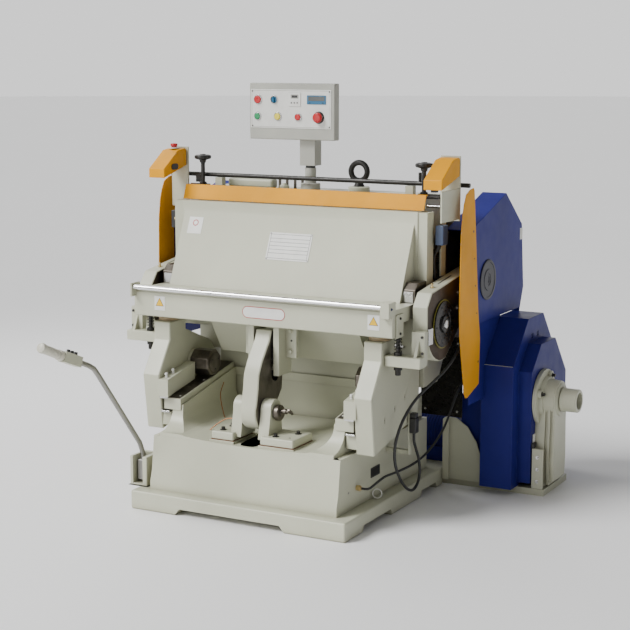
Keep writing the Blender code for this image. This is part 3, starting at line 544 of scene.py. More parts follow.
WAY_FRONT, WAY_BACK, WAY_START, WAY_SLOPE = -0.29, 0.145, 0.443, 0.19
ALONG_WAY_UP = (0, -WAY_SLOPE, 1)
BODY_HALF, SKIRT_HALF, BASE_SIDE = 0.405, 0.436, 0.4355
LIP_Y, TROUGH_FLOOR, TROUGH_HALF, TROUGH_SAG, TROUGH_FILLET = -0.39, 0.303, 0.27, 0.009, 0.085
SEAT_TOP, PILLOW_TOP = 0.3148, 0.3500
PIN_Y, ARM_CENTRE = -0.28, (0, -0.245, 0.385)


def way_height(y):
    """Height of the machined way at a distance from the front."""
    return WAY_START + WAY_SLOPE * (y - WAY_FRONT)


def along_way(low, high, front, back):
    """Outline of a bar that follows the way's slope."""
    return [(front, way_height(front) + low), (back, way_height(back) + low),
            (back, way_height(back) + high), (front, way_height(front) + high)]


def trough_cutter():
    """The sagging floor between the ways, swept up to the walls in fillets."""
    floor = [(TROUGH_HALF * step / 8, TROUGH_FLOOR + TROUGH_SAG * (step / 8) ** 2) for step in range(-7, 8)]
    fillet_z = TROUGH_FLOOR + TROUGH_SAG + TROUGH_FILLET
    wall = TROUGH_HALF + TROUGH_FILLET
    outline = [(-wall, 0.60), *arc((-TROUGH_HALF, fillet_z), TROUGH_FILLET, 180, 270, 10), *floor,
               *arc((TROUGH_HALF, fillet_z), TROUGH_FILLET, -90, 0, 10), (wall, 0.60)]
    cutter = front_profile(outline, -0.55, WAY_BACK + 0.005)
    lip = Vector((0, LIP_Y, TROUGH_FLOOR))
    tilt = Matrix.Translation(lip) @ Matrix.Rotation(math.radians(1.8), 4, "X") @ Matrix.Translation(-lip)
    bmesh.ops.transform(cutter, matrix=tilt, verts=cutter.verts)
    return cutter


def make_base():
    """Base casting: relieved flange, coved body with its trough, skirt, ways and pillow seats."""
    front = [(-0.418, 0.06), (-0.418, 0.115), (-0.404, 0.16)]
    cove = arc((-0.383, 0.418), 0.10, -90, 0, 10)
    back = [(WAY_BACK, 0.5057), (WAY_BACK, 0.3145), (0.455, 0.3145), (0.455, 0.06)]
    body = side_profile([*front, *cove, *back], -BODY_HALF, BODY_HALF)
    skirt = side_profile([*front, (-0.385, 0.303), (0.44, 0.303), (0.44, 0.06)], -SKIRT_HALF, SKIRT_HALF)
    body = carved(welded(body, skirt), trough_cutter())
    flange = rounded(box_shape((-0.50, -0.47, 0), (0.50, 0.474, 0.079)), 0.008, 4)
    seats = [box_shape((left, -0.373, 0.26), (right, -0.198, SEAT_TOP))
             for left, right in ((0.058, 0.220), (-0.172, -0.058))]
    ways = [side_profile(along_way(-0.048, 0, WAY_FRONT, WAY_BACK), *mirrored(side, 0.364, 0.445))
            for side, _label in SIDES]
    body = welded(body, flange, *seats, *ways)
    bulge = [(0.0025 + 0.0575 * t, 0.150 * (1 - abs(t) ** 4) ** 0.5)
             for t in (step / 10 for step in range(-9, 10))]
    well = lathe(bulge, ARM_CENTRE, "X", 72)
    body = carved(body, well, *foot_reliefs())
    publish(rounded(body, 0.005, 3, 30), "base_shell", "cream", "frame", ["base_casting"])


def foot_reliefs():
    """Wedge-sided cutters that leave the flange standing on its feet."""
    height, run = 0.028, 0.040
    across = [(-0.302, -0.02), (-0.302 + run, height), (0.247 - run, height), (0.247, -0.02)]
    reliefs = [front_profile(across, -0.6, -0.05), front_profile(across, 0.25, 0.6)]
    for start, end in ((-0.328, -0.032), (0.228, 0.422)):
        along = [(start, -0.02), (start + 0.024, height), (end - 0.024, height), (end, -0.02)]
        reliefs.append(side_profile(along, -0.7, 0.7))
    return reliefs


def make_way_details():
    """Ground strips with their screws, seat gaskets, oil pipes, gland, socket bracket, grille and plugs."""
    for side, label in SIDES:
        middle, lift = side * 0.405, 0.0016
        strip = side_profile(along_way(0.0001, lift, WAY_FRONT + 0.003, WAY_BACK - 0.002),
                             *mirrored(side, 0.371, 0.4405))
        slots = [box_shape((middle - 0.010, y - 0.0025, 0.4), (middle + 0.010, y + 0.0025, 0.6))
                 for y in (-0.16, 0.02)]
        publish(carved(strip, *slots), "way_strip_" + label, "dark_steel")
        spots = [(middle + side * offset, y, way_height(y) + lift)
                 for y, offset in ((-0.262, -0.022), (-0.262, 0.024), (-0.08, -0.024), (0.10, 0.024))]
        heads = [turned([(0, 0.0042), (0.001, 0.0042), (0.0016, 0.003)], spot, ALONG_WAY_UP)
                 for spot in spots]
        publish(joined(heads), "way_screws_" + label, "white")
        left, right = (0.0605, 0.217) if side > 0 else (-0.167, -0.0605)
        publish(box_shape((left, -0.370, SEAT_TOP + 0.0001), (right, -0.203, SEAT_TOP + 0.0020)),
                "seat_gasket_" + label, "gasket")
    route("oil_pipe_left", [(-0.342, 0.02, 0.46), (-0.335, -0.02, 0.41), (-0.30, -0.05, 0.335),
                            (-0.255, -0.09, 0.305), (-0.235, -0.12, 0.3005)], 0.0022, "copper")
    route("oil_pipe_arm", [(-0.262, -0.26, 0.296), (-0.235, -0.235, 0.330), (-0.19, -0.215, 0.362),
                           (-0.13, -0.215, 0.372), (-0.092, -0.235, 0.380)], 0.0022, "copper")
    gland = [(-0.010, 0.0115), (0.001, 0.0115), (0.002, 0.0135), (0.007, 0.0135), (0.0075, 0.0095),
             (0.0120, 0.0090)]
    publish(lathe(gland, (0.445, -0.242, 0.157), "X", 6), "cable_gland", "brass")
    bracket = welded(box_shape((0.430, 0.025, 0.245), (0.544, 0.045, 0.262)),
                     box_shape((0.5395, 0.018, 0.245), (0.544, 0.052, 0.418)))
    publish(rounded(bracket, 0.0015, 2), "socket_bracket", "cream")
    grille = box_shape((BASE_SIDE, -0.116, 0.166), (0.4390, -0.036, 0.206))
    windows = [box_shape((0.4375, -0.110 + 0.0094 * step, 0.171), (0.45, -0.1035 + 0.0094 * step, 0.201))
               for step in range(8)]
    publish(carved(grille, *windows), "vent_grille", "plastic")
    publish(ring_shape(0.0185, 0.0024, (0.462, -0.107, 0.1025), (0.35, -1, 0.1)), "cable_ring", "white")
    bolts("base_plugs", [(BASE_SIDE, -0.315, 0.153), (BASE_SIDE, 0.30, 0.25)], RIGHT, 0.0045, "steel")


def make_arm_and_pillows():
    """Slotted arm with machined flanks, the pillow blocks, their bolts, the pin and its wing screw."""
    def machined_face(face):
        inside = abs(face.center.y + 0.19) < 0.0325 and 0.542 < face.center.z < 0.728
        return 2 if inside and abs(face.normal.x) < 0.96 else abs(face.normal.x) > 0.96

    # Faces facing X take the machined side steel; the slot's inner walls take the near-black oily finish,
    # which paints the shade inside the slot.
    publish(rounded(node_shape("guide_arm"), 0.006, 4), "guide_arm_shell", "cream", "guide_arm_body",
            ["guide_arm"], second=("side_steel", "oily"), pick=machined_face)
    for label in ("left", "right"):
        softened("pillow_block_" + label, 0.006, "cream", segments=4)
    spots = ((0.118, -0.335), (0.178, -0.255), (-0.128, -0.335), (-0.128, -0.262))
    bolts("pillow_bolts", [(x, y, PILLOW_TOP) for x, y in spots], UP, 0.0145, "black", height=0.013)
    # Black discs paint the shade inside the oil holes.
    holes = [lathe([(0, 0.0045), (0.0008, 0.0045)], (x, y, PILLOW_TOP - 0.0002))
             for x, y in ((0.180, -0.330), (-0.150, -0.298))]
    publish(joined(holes), "pillow_oil_hole_shade", "plastic")
    publish(lathe([(-0.098, 0.017), (-0.095, 0.020), (0.095, 0.020), (0.0952, 0.033), (0.110, 0.033),
                   (0.114, 0.029), (0.1145, 0.014), (0.120, 0.014)], (0, PIN_Y, 0.435), "X", 40),
            "arm_pin_shell", "dark_steel", "frame", ["arm_pin"])
    steps = [(0.118, 0.006), (0.128, 0.006), (0.1285, 0.011), (0.140, 0.011), (0.141, 0.006), (0.165, 0.005)]
    stem = lathe(steps, (0, -0.285, 0.445), "X", 20)
    wing = turned([(-0.024, 0.0045), (-0.021, 0.006), (0.021, 0.006), (0.024, 0.0045)],
                  (0.158, -0.285, 0.445), (0.1, -0.8, 0.5), 16)
    publish(joined([stem, wing]), "pin_wing_screw", "dark_steel")


# ---------------------------------------------------------------- carriage

SADDLE_SLOTS = ((-0.194, 0.433), (-0.101, 0.462), (-0.007, 0.491))
PAD_X = 0.497


def make_saddles():
    """Saddles with their gibs, oil nipples, adjusting slots, pads and slide blocks."""
    for side, label in SIDES:
        saddle = rounded(node_shape("saddle_" + label), 0.007, 4)
        slots = [side_box(side, (0.5300, y - 0.0042, z - 0.0125), (0.54, y + 0.0042, z + 0.0125))
                 for y, z in SADDLE_SLOTS]
        publish(carved(saddle, *slots), "saddle_shell_" + label, "cream", "carriage", ["saddle_" + label])
        head = [(0, 0.0035), (0.0035, 0.0035), (0.0045, 0.0026)]
        if side < 0:
            head = [(-along, radius) for along, radius in reversed(head)]
        heads = [lathe(head, (side * 0.5297, y, z), "X", 16) for y, z in SADDLE_SLOTS]
        publish(joined(heads), "gib_screws_" + label, "black", "carriage")
        xs = mirrored(side, 0.414, 0.4545)
        upper = rounded(side_profile(along_way(0.0040, 0.0118, -0.310, -0.102), *xs), 0.001, 2)
        lower = rounded(side_profile(along_way(-0.0597, -0.0525, -0.300, -0.102), *xs), 0.001, 2)
        publish(joined([upper, lower]), "gib_plates_" + label, "steel", "carriage")
        nipple = [(0, 0.0075), (0.004, 0.0075), (0.0045, 0.0045), (0.012, 0.0045), (0.0125, 0.0072),
                  (0.017, 0.0072), (0.020, 0.0050)]
        tops = [turned(nipple, (side * 0.434, y, way_height(y) + 0.0845), ALONG_WAY_UP, 20)
                for y in (-0.285, -0.235)]
        publish(joined(tops), "oil_nipples_" + label, "label", "carriage")
        pad = [(0.7523, 0.0425), (0.7535, 0.044), (0.758, 0.044), (0.7585, 0.0425), (0.7605, 0.0425),
               (0.761, 0.044), (0.766, 0.044), (0.7672, 0.041), (0.7790, 0.041), (0.7797, 0.040)]
        publish(lathe(pad, (side * PAD_X, -0.165, 0), "Z", 48), "landing_pad_shell_" + label, "tan",
                "carriage", ["landing_pad_" + label])
        block = rounded(node_shape("slide_block_" + label), 0.0022, 3)
        boss = [(0, 0.040), (0.002, 0.040), (0.0035, 0.038)]
        centre = Vector((side * 0.3495, -0.04, 0.557))
        publish(block, "slide_block_shell_" + label, "dark_steel", "carriage", ["slide_block_" + label])
        publish(turned(boss, centre, (-side, 0, 0), 40), "slide_block_cap_" + label,
                "side_steel", "carriage")
        spots = [(centre.x - side * 0.0035, y, z) for y, z in circle(centre.yz, 0.028, 30, 3)]
        bolts("slide_block_bolts_" + label, spots, (-side, 0, 0), 0.0042, "black", "carriage")
        bolts("saddle_foot_nut_" + label, [(side * PAD_X, -0.255, 0.3135)], (0, 0, -1), 0.0085, "steel",
              "carriage", height=0.010)


def make_stop_brackets():
    """Brackets with their screws, and the spring bolts that stand in them."""
    for side, label in SIDES:
        softened("stop_bracket_" + label, 0.004, "cream", "carriage", 3)
        screws("stop_screws_" + label, [(side * 0.680, -0.1652, 0.776), (side * 0.682, -0.1652, 0.712)],
               (0, -1, 0), 0.0055, "black", "carriage")
        centre = (side * 0.583, -0.178, 0)
        stud = [(0.618, 0.0085), (0.620, 0.0115), (0.640, 0.0120), (0.6405, 0.0170), (0.6540, 0.0170),
                (0.6545, 0.0120), (0.6985, 0.0120), (0.6990, 0.0165), (0.7110, 0.0165), (0.7115, 0.0085),
                (0.7900, 0.0085), (0.7905, 0.0155), (0.8060, 0.0155), (0.8065, 0.0130), (0.8100, 0.0130),
                (0.8105, 0.0155), (0.8270, 0.0155), (0.8285, 0.0140)]
        publish(joined([lathe(stud, centre, "Z", 24),
                        coil_spring(centre, 0.7125, 0.7890, 0.0138, 0.0021, 6)]),
                "spring_bolt_shell_" + label, "black", "carriage", ["spring_bolt_" + label])


def coil_spring(centre, low, high, radius, wire, turns):
    """A wound spring standing on Z."""
    bm = bmesh.new()
    made = bmesh.ops.create_circle(bm, cap_ends=False, radius=wire, segments=8)
    upright = Matrix.Rotation(math.pi / 2, 4, "X")
    stand = Matrix.Translation((centre[0] + radius, centre[1], low + wire)) @ upright
    bmesh.ops.transform(bm, matrix=stand, verts=made["verts"])
    step_up = (high - low - 2 * wire) / (turns * 20)
    bmesh.ops.spin(bm, geom=list(bm.verts) + list(bm.edges), cent=centre, axis=(0, 0, 1),
                   dvec=(0, 0, step_up), angle=2 * math.pi * turns, steps=turns * 20)
    ends = [e for e in bm.edges if e.is_boundary]
    bmesh.ops.holes_fill(bm, edges=ends, sides=8)
    bmesh.ops.recalc_face_normals(bm, faces=bm.faces)
    return bm


# ---------------------------------------------------------------- platen

PANEL_TOP = Vector((0, 0.055, 1.215))
PANEL_DOWN = Vector((0, -0.143, -0.331)).normalized()
PANEL_OUT = Vector((0, -0.331, 0.143)).normalized()


def on_panel(bm):
    """Move a shape drawn flat, with x across and y up the slope, on to the platen's sloped front."""
    turn = Matrix((RIGHT, -PANEL_DOWN, PANEL_OUT)).transposed().to_4x4()
    bmesh.ops.transform(bm, matrix=Matrix.Translation(PANEL_TOP) @ turn, verts=bm.verts)
    return bm


def make_nameplates():
    """Blank instruction plate with its ruled frame and rivets, and a blank label."""
    left, right, top, bottom = -0.103, 0.100, -0.095, -0.215
    publish(on_panel(rounded(box_shape((left, bottom, 0.0002), (right, top, 0.0016)), 0.0005, 2)),
            "nameplate", "label", "platen")
    inset, line = 0.008, 0.0012
    rows = [box_shape((left + inset, z - line / 2, 0.0015), (right - inset, z + line / 2, 0.0021))
            for z in (top - inset, top - 0.026, -0.137, -0.153, -0.169, -0.185, bottom + inset)]
    posts = [box_shape((x - line / 2, bottom + inset, 0.0015), (x + line / 2, top - inset, 0.0021))
             for x in (left + inset, right - inset)]
    publish(on_panel(joined(rows + posts)), "nameplate_rules", "plastic", "platen", even=False)
    rivets = [lathe([(0, 0.0034), (0.0018, 0.0030), (0.0026, 0.0016)], (x, y, 0.0015), "Z", 16)
              for x in (left + 0.005, right - 0.005) for y in (top - 0.005, bottom + 0.005)]
    publish(on_panel(joined(rivets)), "nameplate_rivets", "steel", "platen")
    publish(on_panel(rounded(box_shape((-0.513, -0.123, 0.0002), (-0.443, -0.048, 0.0010)), 0.0003, 2)),
            "corner_label", "label", "platen")
    publish(on_panel(ring_plate((-0.478, -0.074), 0.014, 0.010, 0.0010, 0.0014)), "corner_label_ring",
            "red_print", "platen")


def ring_plate(centre, outer, inner, low, high):
    """A flat ring, standing on Z."""
    return carved(lathe([(low, outer), (high, outer)], (*centre, 0), "Z", 40),
                  lathe([(low - 0.01, inner), (high + 0.01, inner)], (*centre, 0), "Z", 40))


def capsule(left, right, bottom, top):
    """Outline of a bar with round ends, as (x, z)."""
    radius, middle = (top - bottom) / 2, (top + bottom) / 2
    return (arc((right - radius, middle), radius, -90, 90, 14)
            + arc((left + radius, middle), radius, 90, 270, 14))


def make_fascia_details():
    """Warning triangles, a blank oval label, end plates, gauge blocks, link flanges and the bright bar."""
    face, bar_y, bar_z = -0.2701, -0.286, 0.901
    for name, left, right in (("left", -0.499, -0.447), ("right", 0.494, 0.546)):
        middle = (left + right) / 2
        publish(rounded(box_shape((left, face - 0.0010, 0.808), (right, face + 0.0004, 0.868)), 0.0003, 2),
                "warning_label_" + name, "label", "platen")
        for finish, size, lift in (("plastic", 0.0235, 0.0014), ("amber_print", 0.0200, 0.0018)):
            corners = circle((middle, 0.838), size, 90, 3)
            publish(front_profile(corners, face - lift, face), "warning_%s_%s" % (finish, name), finish,
                    "platen", even=False)
    outline = carved(front_profile(capsule(-0.072, 0.126, 0.811, 0.859), face - 0.0012, face),
                     front_profile(capsule(-0.0695, 0.1235, 0.8135, 0.8565), face - 0.01, face + 0.01))
    publish(outline, "oval_outline", "red_print", "platen", even=False)
    publish(front_profile(capsule(-0.0698, 0.1238, 0.8132, 0.8568), face - 0.0008, face), "oval_label",
            "label", "platen", even=False)
    for side, label in SIDES:
        plate = rounded(side_box(side, (0.6002, -0.241, 0.776), (0.6058, -0.178, 0.868)), 0.0018, 3)
        publish(plate, "end_plate_" + label, "cream", "platen")
        screws("end_screws_" + label, [(side * 0.6056, -0.210, z) for z in (0.792, 0.852)], (side, 0, 0),
               0.0052, "black", "platen")
        bolts("bar_screw_" + label, [(side * 0.6001, -0.278, 0.897)], (side, 0, 0), 0.0062, "blue", "platen")
        chamfered = [(-0.055, 0.888), (-0.055, 0.940), (-0.028, 0.966), (0.052, 0.966), (0.052, 0.888)]
        block = side_profile(chamfered, *mirrored(side, 0.547, 0.598))
        publish(rounded(block, 0.002, 3), "gauge_block_" + label, "dark_steel", "platen")
        pad = side_box(side, (0.5480, -0.0590, 0.890), (0.5900, -0.0548, 0.933))
        publish(rounded(pad, 0.0012, 2), "gauge_pad_" + label, "steel", "platen")
        publish(rounded(side_box(side, (0.0465, -0.1660, 0.640), (0.1200, -0.150, 0.842)), 0.003, 3),
                "link_flange_" + label, "cream", "platen")
        bolts("link_bolts_" + label, [(side * 0.096, -0.1662, z) for z in (0.752, 0.668)], (0, -1, 0),
              0.0125, "cream", "platen", height=0.010)
        # A black disc paints the shade inside the link's hole.
        publish(lathe([(-0.0008, 0.0042), (0.0003, 0.0042)], (side * 0.098, -0.1662, 0.712), "Y", 16),
                "link_hole_" + label, "plastic", "platen")
    publish(lathe([(-0.5917, 0.0085), (-0.5905, 0.0105), (0.5605, 0.0105), (0.5617, 0.0085)],
                  (0, bar_y, bar_z), "X", 48), "front_bar_shell", "chrome", "platen", ["front_bar"])


def make_trunnion_ends():
    """Black eccentric discs with a coloured rim, their bolts and a steel cap."""
    for side, label in SIDES:
        centre = (side * 0.6832, 0.03, 0.80)
        rows = (("rim", "lime", [(0, 0.099), (0.0018, 0.099), (0.0022, 0.0975)]),
                ("disc", "oily", [(0.002, 0.093), (0.0065, 0.093), (0.0075, 0.091), (0.0075, 0.060),
                                  (0.0050, 0.058), (0.0050, 0.036), (0.0120, 0.034), (0.0130, 0.030)]))
        for name, finish, stations in rows:
            publish(turned(stations, centre, (side, 0, 0), 64),
                    "eccentric_%s_%s" % (name, label), finish, "platen")
        spots = [(centre[0] + side * 0.0073, y, z) for y, z in circle(centre[1:], 0.075, 40, 5)]
        bolts("eccentric_bolts_" + label, spots, (side, 0, 0), 0.0052, "black", "platen")
        publish(turned([(0.012, 0.018), (0.017, 0.017), (0.018, 0.012)], centre, (side, 0, 0), 24),
                "eccentric_cap_" + label, "steel", "platen")


def top_of_drawbar(y):
    """Height of a drawbar's sloping top face."""
    return 0.938 + (0.975 - 0.938) / 0.275 * (y + 0.075)


def make_drawbars():
    """Drawbars with machined flanks, an oil slot drawn as a black sheet of painted shade, a nipple, a clamp
    block and two bolts.
    """
    for side, label in SIDES:
        body = "drawbar_%s_body" % label
        publish(rounded(node_shape("drawbar_" + label), 0.004, 3), "drawbar_shell_" + label, "cream", body,
                ["drawbar_" + label], second=("brown_steel",), pick=lambda face: abs(face.normal.x) > 0.97)
        # A thin black sheet on the top face paints the shade inside the oil slot.
        slot = [(y, top_of_drawbar(y)) for y in (0.055, 0.185)]
        slot += [(y, z + 0.0006) for y, z in reversed(slot)]
        publish(side_profile(slot, *mirrored(side, 0.6445, 0.6505)), "oil_slot_" + label, "plastic", body)
        nipple = [(0, 0.0075), (0.006, 0.0075), (0.0065, 0.0048), (0.014, 0.0048), (0.0145, 0.0066),
                  (0.019, 0.0050)]
        publish(lathe(nipple, (side * 0.648, -0.005, top_of_drawbar(-0.005)), "Z", 20),
                "bar_nipple_" + label, "brass", body)
        block = rounded(side_box(side, (0.6802, -0.118, 0.735), (0.6862, -0.074, 0.800)), 0.0012, 2)
        publish(block, "clamp_block_" + label, "steel", body)
        bolts("clamp_bolts_" + label, [(side * 0.6802, 0.172, 0.845), (side * 0.6802, 0.182, 0.905)],
              (side, 0, 0), 0.0085, "steel", body, height=0.006)


# ---------------------------------------------------------------- top of the machine

def ring_shape(major, minor, centre, axis, steps=48):
    """A round ring about an axis."""
    bm = bmesh.new()
    made = bmesh.ops.create_circle(bm, cap_ends=False, radius=minor, segments=16)
    stand = Matrix.Translation((major, 0, 0)) @ Matrix.Rotation(math.pi / 2, 4, "X")
    bmesh.ops.transform(bm, matrix=stand, verts=made["verts"])
    bmesh.ops.spin(bm, geom=list(bm.verts) + list(bm.edges), cent=(0, 0, 0), axis=(0, 0, 1),
                   angle=2 * math.pi, steps=steps, use_merge=True)
    bmesh.ops.recalc_face_normals(bm, faces=bm.faces)
    return placed(bm, centre, axis)


def make_crown():
    """Lifting eye, console post, handwheels, clamp struts and the small castings on the bed's deck."""
    deck, eye, post, wheel_y = 1.2853, (0.17, 0.30, 0), (-0.04, 0.255, 0), 0.170
    base = lathe([(1.3050, 0.024), (1.3085, 0.024), (1.3200, 0.019), (1.3380, 0.014)], eye, "Z", 40)
    publish(welded(base, ring_shape(0.038, 0.0120, (0.17, 0.30, 1.372), (0, 1, 0))), "lifting_eye_shell",
            "black", "frame", ["lifting_eye"])
    publish(lathe([(deck, 0.043), (1.2870, 0.046), (1.3060, 0.046), (1.3090, 0.042), (1.3090, 0.025)], eye,
                  "Z", 40), "lifting_eye_seat", "cream")
    publish(lathe([(deck, 0.040), (1.2870, 0.042), (1.3140, 0.042), (1.3180, 0.039), (1.3185, 0.0255),
                   (1.3200, 0.024), (1.3840, 0.024)], post, "Z", 40), "console_post_shell", "grey",
            "frame", ["console_post"])
    publish(lathe([(1.3842, 0.021), (1.3935, 0.021)], post, "Z", 40), "post_seal", "plastic")
    for side, label in SIDES:
        stations = [(deck, 0.016), (1.3095, 0.016), (1.3130, 0.009), (1.3930, 0.009), (1.3960, 0.013),
                    (1.4060, 0.015), (1.4100, 0.026), (1.4120, 0.034), (1.4150, 0.0365), (1.4220, 0.0370),
                    (1.4270, 0.034), (1.4290, 0.026), (1.4290, 0.014), (1.4320, 0.012), (1.4325, 0.006)]
        knob = lathe(stations, (side * 0.53, wheel_y, 0), "Z", 48)
        notches = [lathe([(1.40, 0.0035), (1.44, 0.0035)], (x, y, 0), "Z", 12)
                   for x, y in circle((side * 0.53, wheel_y), 0.0385, 0, 12)]
        publish(carved(knob, *notches), "handwheel_shell_" + label, "black", "handwheel_%s_body" % label,
                ["handwheel_" + label])
        strut = welded(side_box(side, (0.500, 0.176, 1.2852), (0.600, 0.184, 1.303)),
                       side_box(side, (0.545, 0.150, 1.2852), (0.604, 0.184, 1.294)))
        publish(rounded(strut, 0.002, 2), "clamp_strut_" + label, "black")
    publish(rounded(box_shape((-0.46, 0.262, 1.2852), (-0.235, 0.318, 1.325)), 0.012, 4), "crown_casting",
            "cream")
    staples = [welded(box_shape((x - 0.0035, 0.285, 1.2852), (x + 0.0035, 0.300, 1.3330)),
                      box_shape((x - 0.0035, 0.285, 1.3260), (x + 0.0400, 0.300, 1.3330)),
                      box_shape((x + 0.0330, 0.285, 1.2852), (x + 0.0400, 0.300, 1.3330)))
               for x in (-0.212, -0.136)]
    publish(rounded(joined(staples), 0.0012, 2), "crown_staples", "dark_steel")
    publish(lathe([(1.2852, 0.021), (1.3000, 0.021), (1.3040, 0.018), (1.3045, 0.010), (1.3120, 0.009)],
                  (-0.172, 0.262, 0), "Z", 32), "crown_plug", "cream")


def make_guards():
    """Side guards with black discs that paint the shade in their holes, wedge boxes, posts, mushroom button,
    switches and the cross rod.
    """
    estop = (-0.650, 0.125, 0)
    for side, label in SIDES:
        publish(rounded(node_shape("side_guard_" + label), 0.0009, 2), "guard_shell_" + label, "yellow",
                "frame", ["side_guard_" + label])
        # Black discs on the guard paint the shade inside its holes.
        spots = ((0.234, 1.153, 0.0052), (0.248, 1.040, 0.0034), (0.262, 0.926, 0.0034),
                 (0.281, 0.809, 0.0034), (0.306, 0.601, 0.0052))
        heads = [turned([(0, radius), (0.0007, radius)], (side * 0.7246, y, z), (side, 0, 0), 16)
                 for y, z, radius in spots]
        publish(joined(heads), "guard_holes_" + label, "plastic")
        softened("wedge_box_" + label, 0.005, "yellow", segments=4)
        softened("post_" + label, 0.001, "cream", segments=2)
    oval = side_profile(capsule(0.040, 0.092, 1.368, 1.394), -0.6102, -0.6065)
    publish(rounded(oval, 0.001, 2), "wedge_plug", "plastic")
    collar = carved(lathe([(1.4563, 0.021), (1.4595, 0.021), (1.4605, 0.0195)], estop, "Z", 40),
                    lathe([(1.40, 0.0135), (1.50, 0.0135)], estop, "Z", 40))
    publish(collar, "estop_collar", "label")
    stations = [(1.4570, 0.012), (1.4660, 0.012), (1.4664, 0.0150), (1.4690, 0.0155), (1.4745, 0.0155),
                (1.4770, 0.0138), (1.4780, 0.0100)]
    publish(lathe(stations, estop, "Z", 40), "wedge_estop_shell", "red", "wedge_estop_body",
            ["wedge_estop"])
    publish(rounded(box_shape((-0.662, 0.112, 1.108), (-0.616, 0.160, 1.185)), 0.004, 3), "limit_switch",
            "plastic")
    bolts("limit_switch_screw", [(-0.640, 0.1118, 1.150)], (0, -1, 0), 0.0060, "brass")
    publish(rounded(box_shape((0.6125, 0.100, 1.105), (0.648, 0.150, 1.185)), 0.004, 3), "switch_box",
            "slate")
    for number, y in enumerate((0.120, 0.138)):
        inner = 0.598 - 0.006 * number
        path = [(0.6205, y, 1.104), (0.615, y, 1.085), (inner, y + 0.008, 1.050), (inner, y + 0.016, 0.965)]
        route("switch_hose_%d" % (number + 1), path, 0.0045, "rubber")
    publish(lathe([(-0.606, 0.006), (0.606, 0.006)], (0, 0.165, 1.254), "X", 20), "cross_rod", "steel")


def make_covers():
    """Gear and drive covers with hub discs, a blank label, vents and a seam."""
    for side, label in SIDES:
        softened("gear_cover_" + label, 0.0045, "blue", segments=3)
        centre = (side * 0.7201, 0.405, 0.933)
        rings = [(0, 0.085), (0.0040, 0.085), (0.0055, 0.083), (0.0055, 0.074), (0.0035, 0.072),
                 (0.0035, 0.046), (0.0060, 0.044), (0.0060, 0.026), (0.0040, 0.024), (0.0040, 0.014),
                 (0.0020, 0.013)]
        publish(turned(rings, centre, (side, 0, 0), 64), "hub_disc_" + label, "hub")
    publish(box_shape((0.7201, 0.776, 1.062), (0.7209, 0.806, 1.112)), "cover_label", "label", even=False)
    cover = rounded(node_shape("drive_cover"), 0.005, 3)
    vents = [side_profile([(y, 0.654), (y + 0.022, 0.654), (y + 0.022, 0.676), (y, 0.676)], 0.82, 0.86)
             for y in (0.640, 0.705)]
    publish(carved(cover, *vents), "drive_cover_shell", "blue", "frame", ["drive_cover"])
    slats = [side_profile([(y, z), (y + 0.022, z), (y + 0.022, z + 0.003), (y, z + 0.003)], 0.8318, 0.8342)
             for y in (0.640, 0.705) for z in (0.659, 0.665, 0.671)]
    publish(joined(slats), "vent_slats", "blue", even=False)
    seam = box_shape((0.6935, 0.4284, 0.5640), (0.8315, 0.4302, 0.5660))
    publish(seam, "cover_seam", "grey", even=False)


DRIVE_Y, DRIVE_Z = 0.62, 0.405


def rib_outline(radius, drop, half_top, half_bottom):
    """Outline of a ribbed housing plate: round over the shaft, tapering down to its foot."""
    left = [(-half_top, 0.300), (-half_bottom - 0.01, 0.14), (-half_bottom, drop)]
    legs = left + [(-offset, z) for offset, z in reversed(left)]
    return arc((DRIVE_Y, DRIVE_Z), radius, -20, 200, 24) + [(DRIVE_Y + offset, z) for offset, z in legs]


def make_inner_panels():
    """Sheet behind the guard that closes the gap between the covers, a near-black plate that paints the
    interior's shade, and the motor's front shield.
    """
    closing = [(0.262, 0.420), (0.262, 0.770), (0.600, 0.770), (0.600, 0.560), (0.440, 0.420)]
    publish(rounded(side_profile(closing, 0.7005, 0.7035), 0.0008, 1), "closing_panel", "blue")
    # A near-black plate with screws behind the bed paints the shade of the machine's interior in the gap.
    rear = [(0.402, 0.3150), (0.402, 0.700), (0.560, 0.700), (0.597, 0.663), (0.597, 0.3150)]
    publish(rounded(front_profile(rear, 0.4480, 0.4520), 0.0012, 2), "interior_shade_plate", "oily")
    screws("shaft_shield_screws", [(x, 0.4480, z) for x in (0.425, 0.575) for z in (0.340, 0.640)],
           (0, -1, 0), 0.0050, "steel")
    shield = [(0.502, 0.030), (0.502, 0.298), (0.512, 0.306), (0.560, 0.304), (0.612, 0.270), (0.655, 0.205),
              (0.683, 0.120), (0.683, 0.030)]
    publish(rounded(front_profile(shield, 0.4780, 0.4840), 0.0012, 2), "motor_shield", "cream")
    rim = [(0.502, 0.030), (0.502, 0.298), (0.512, 0.306), (0.530, 0.306), (0.530, 0.030)]
    publish(rounded(front_profile(rim, 0.4600, 0.4785), 0.002, 2), "motor_shield_rib", "cream")


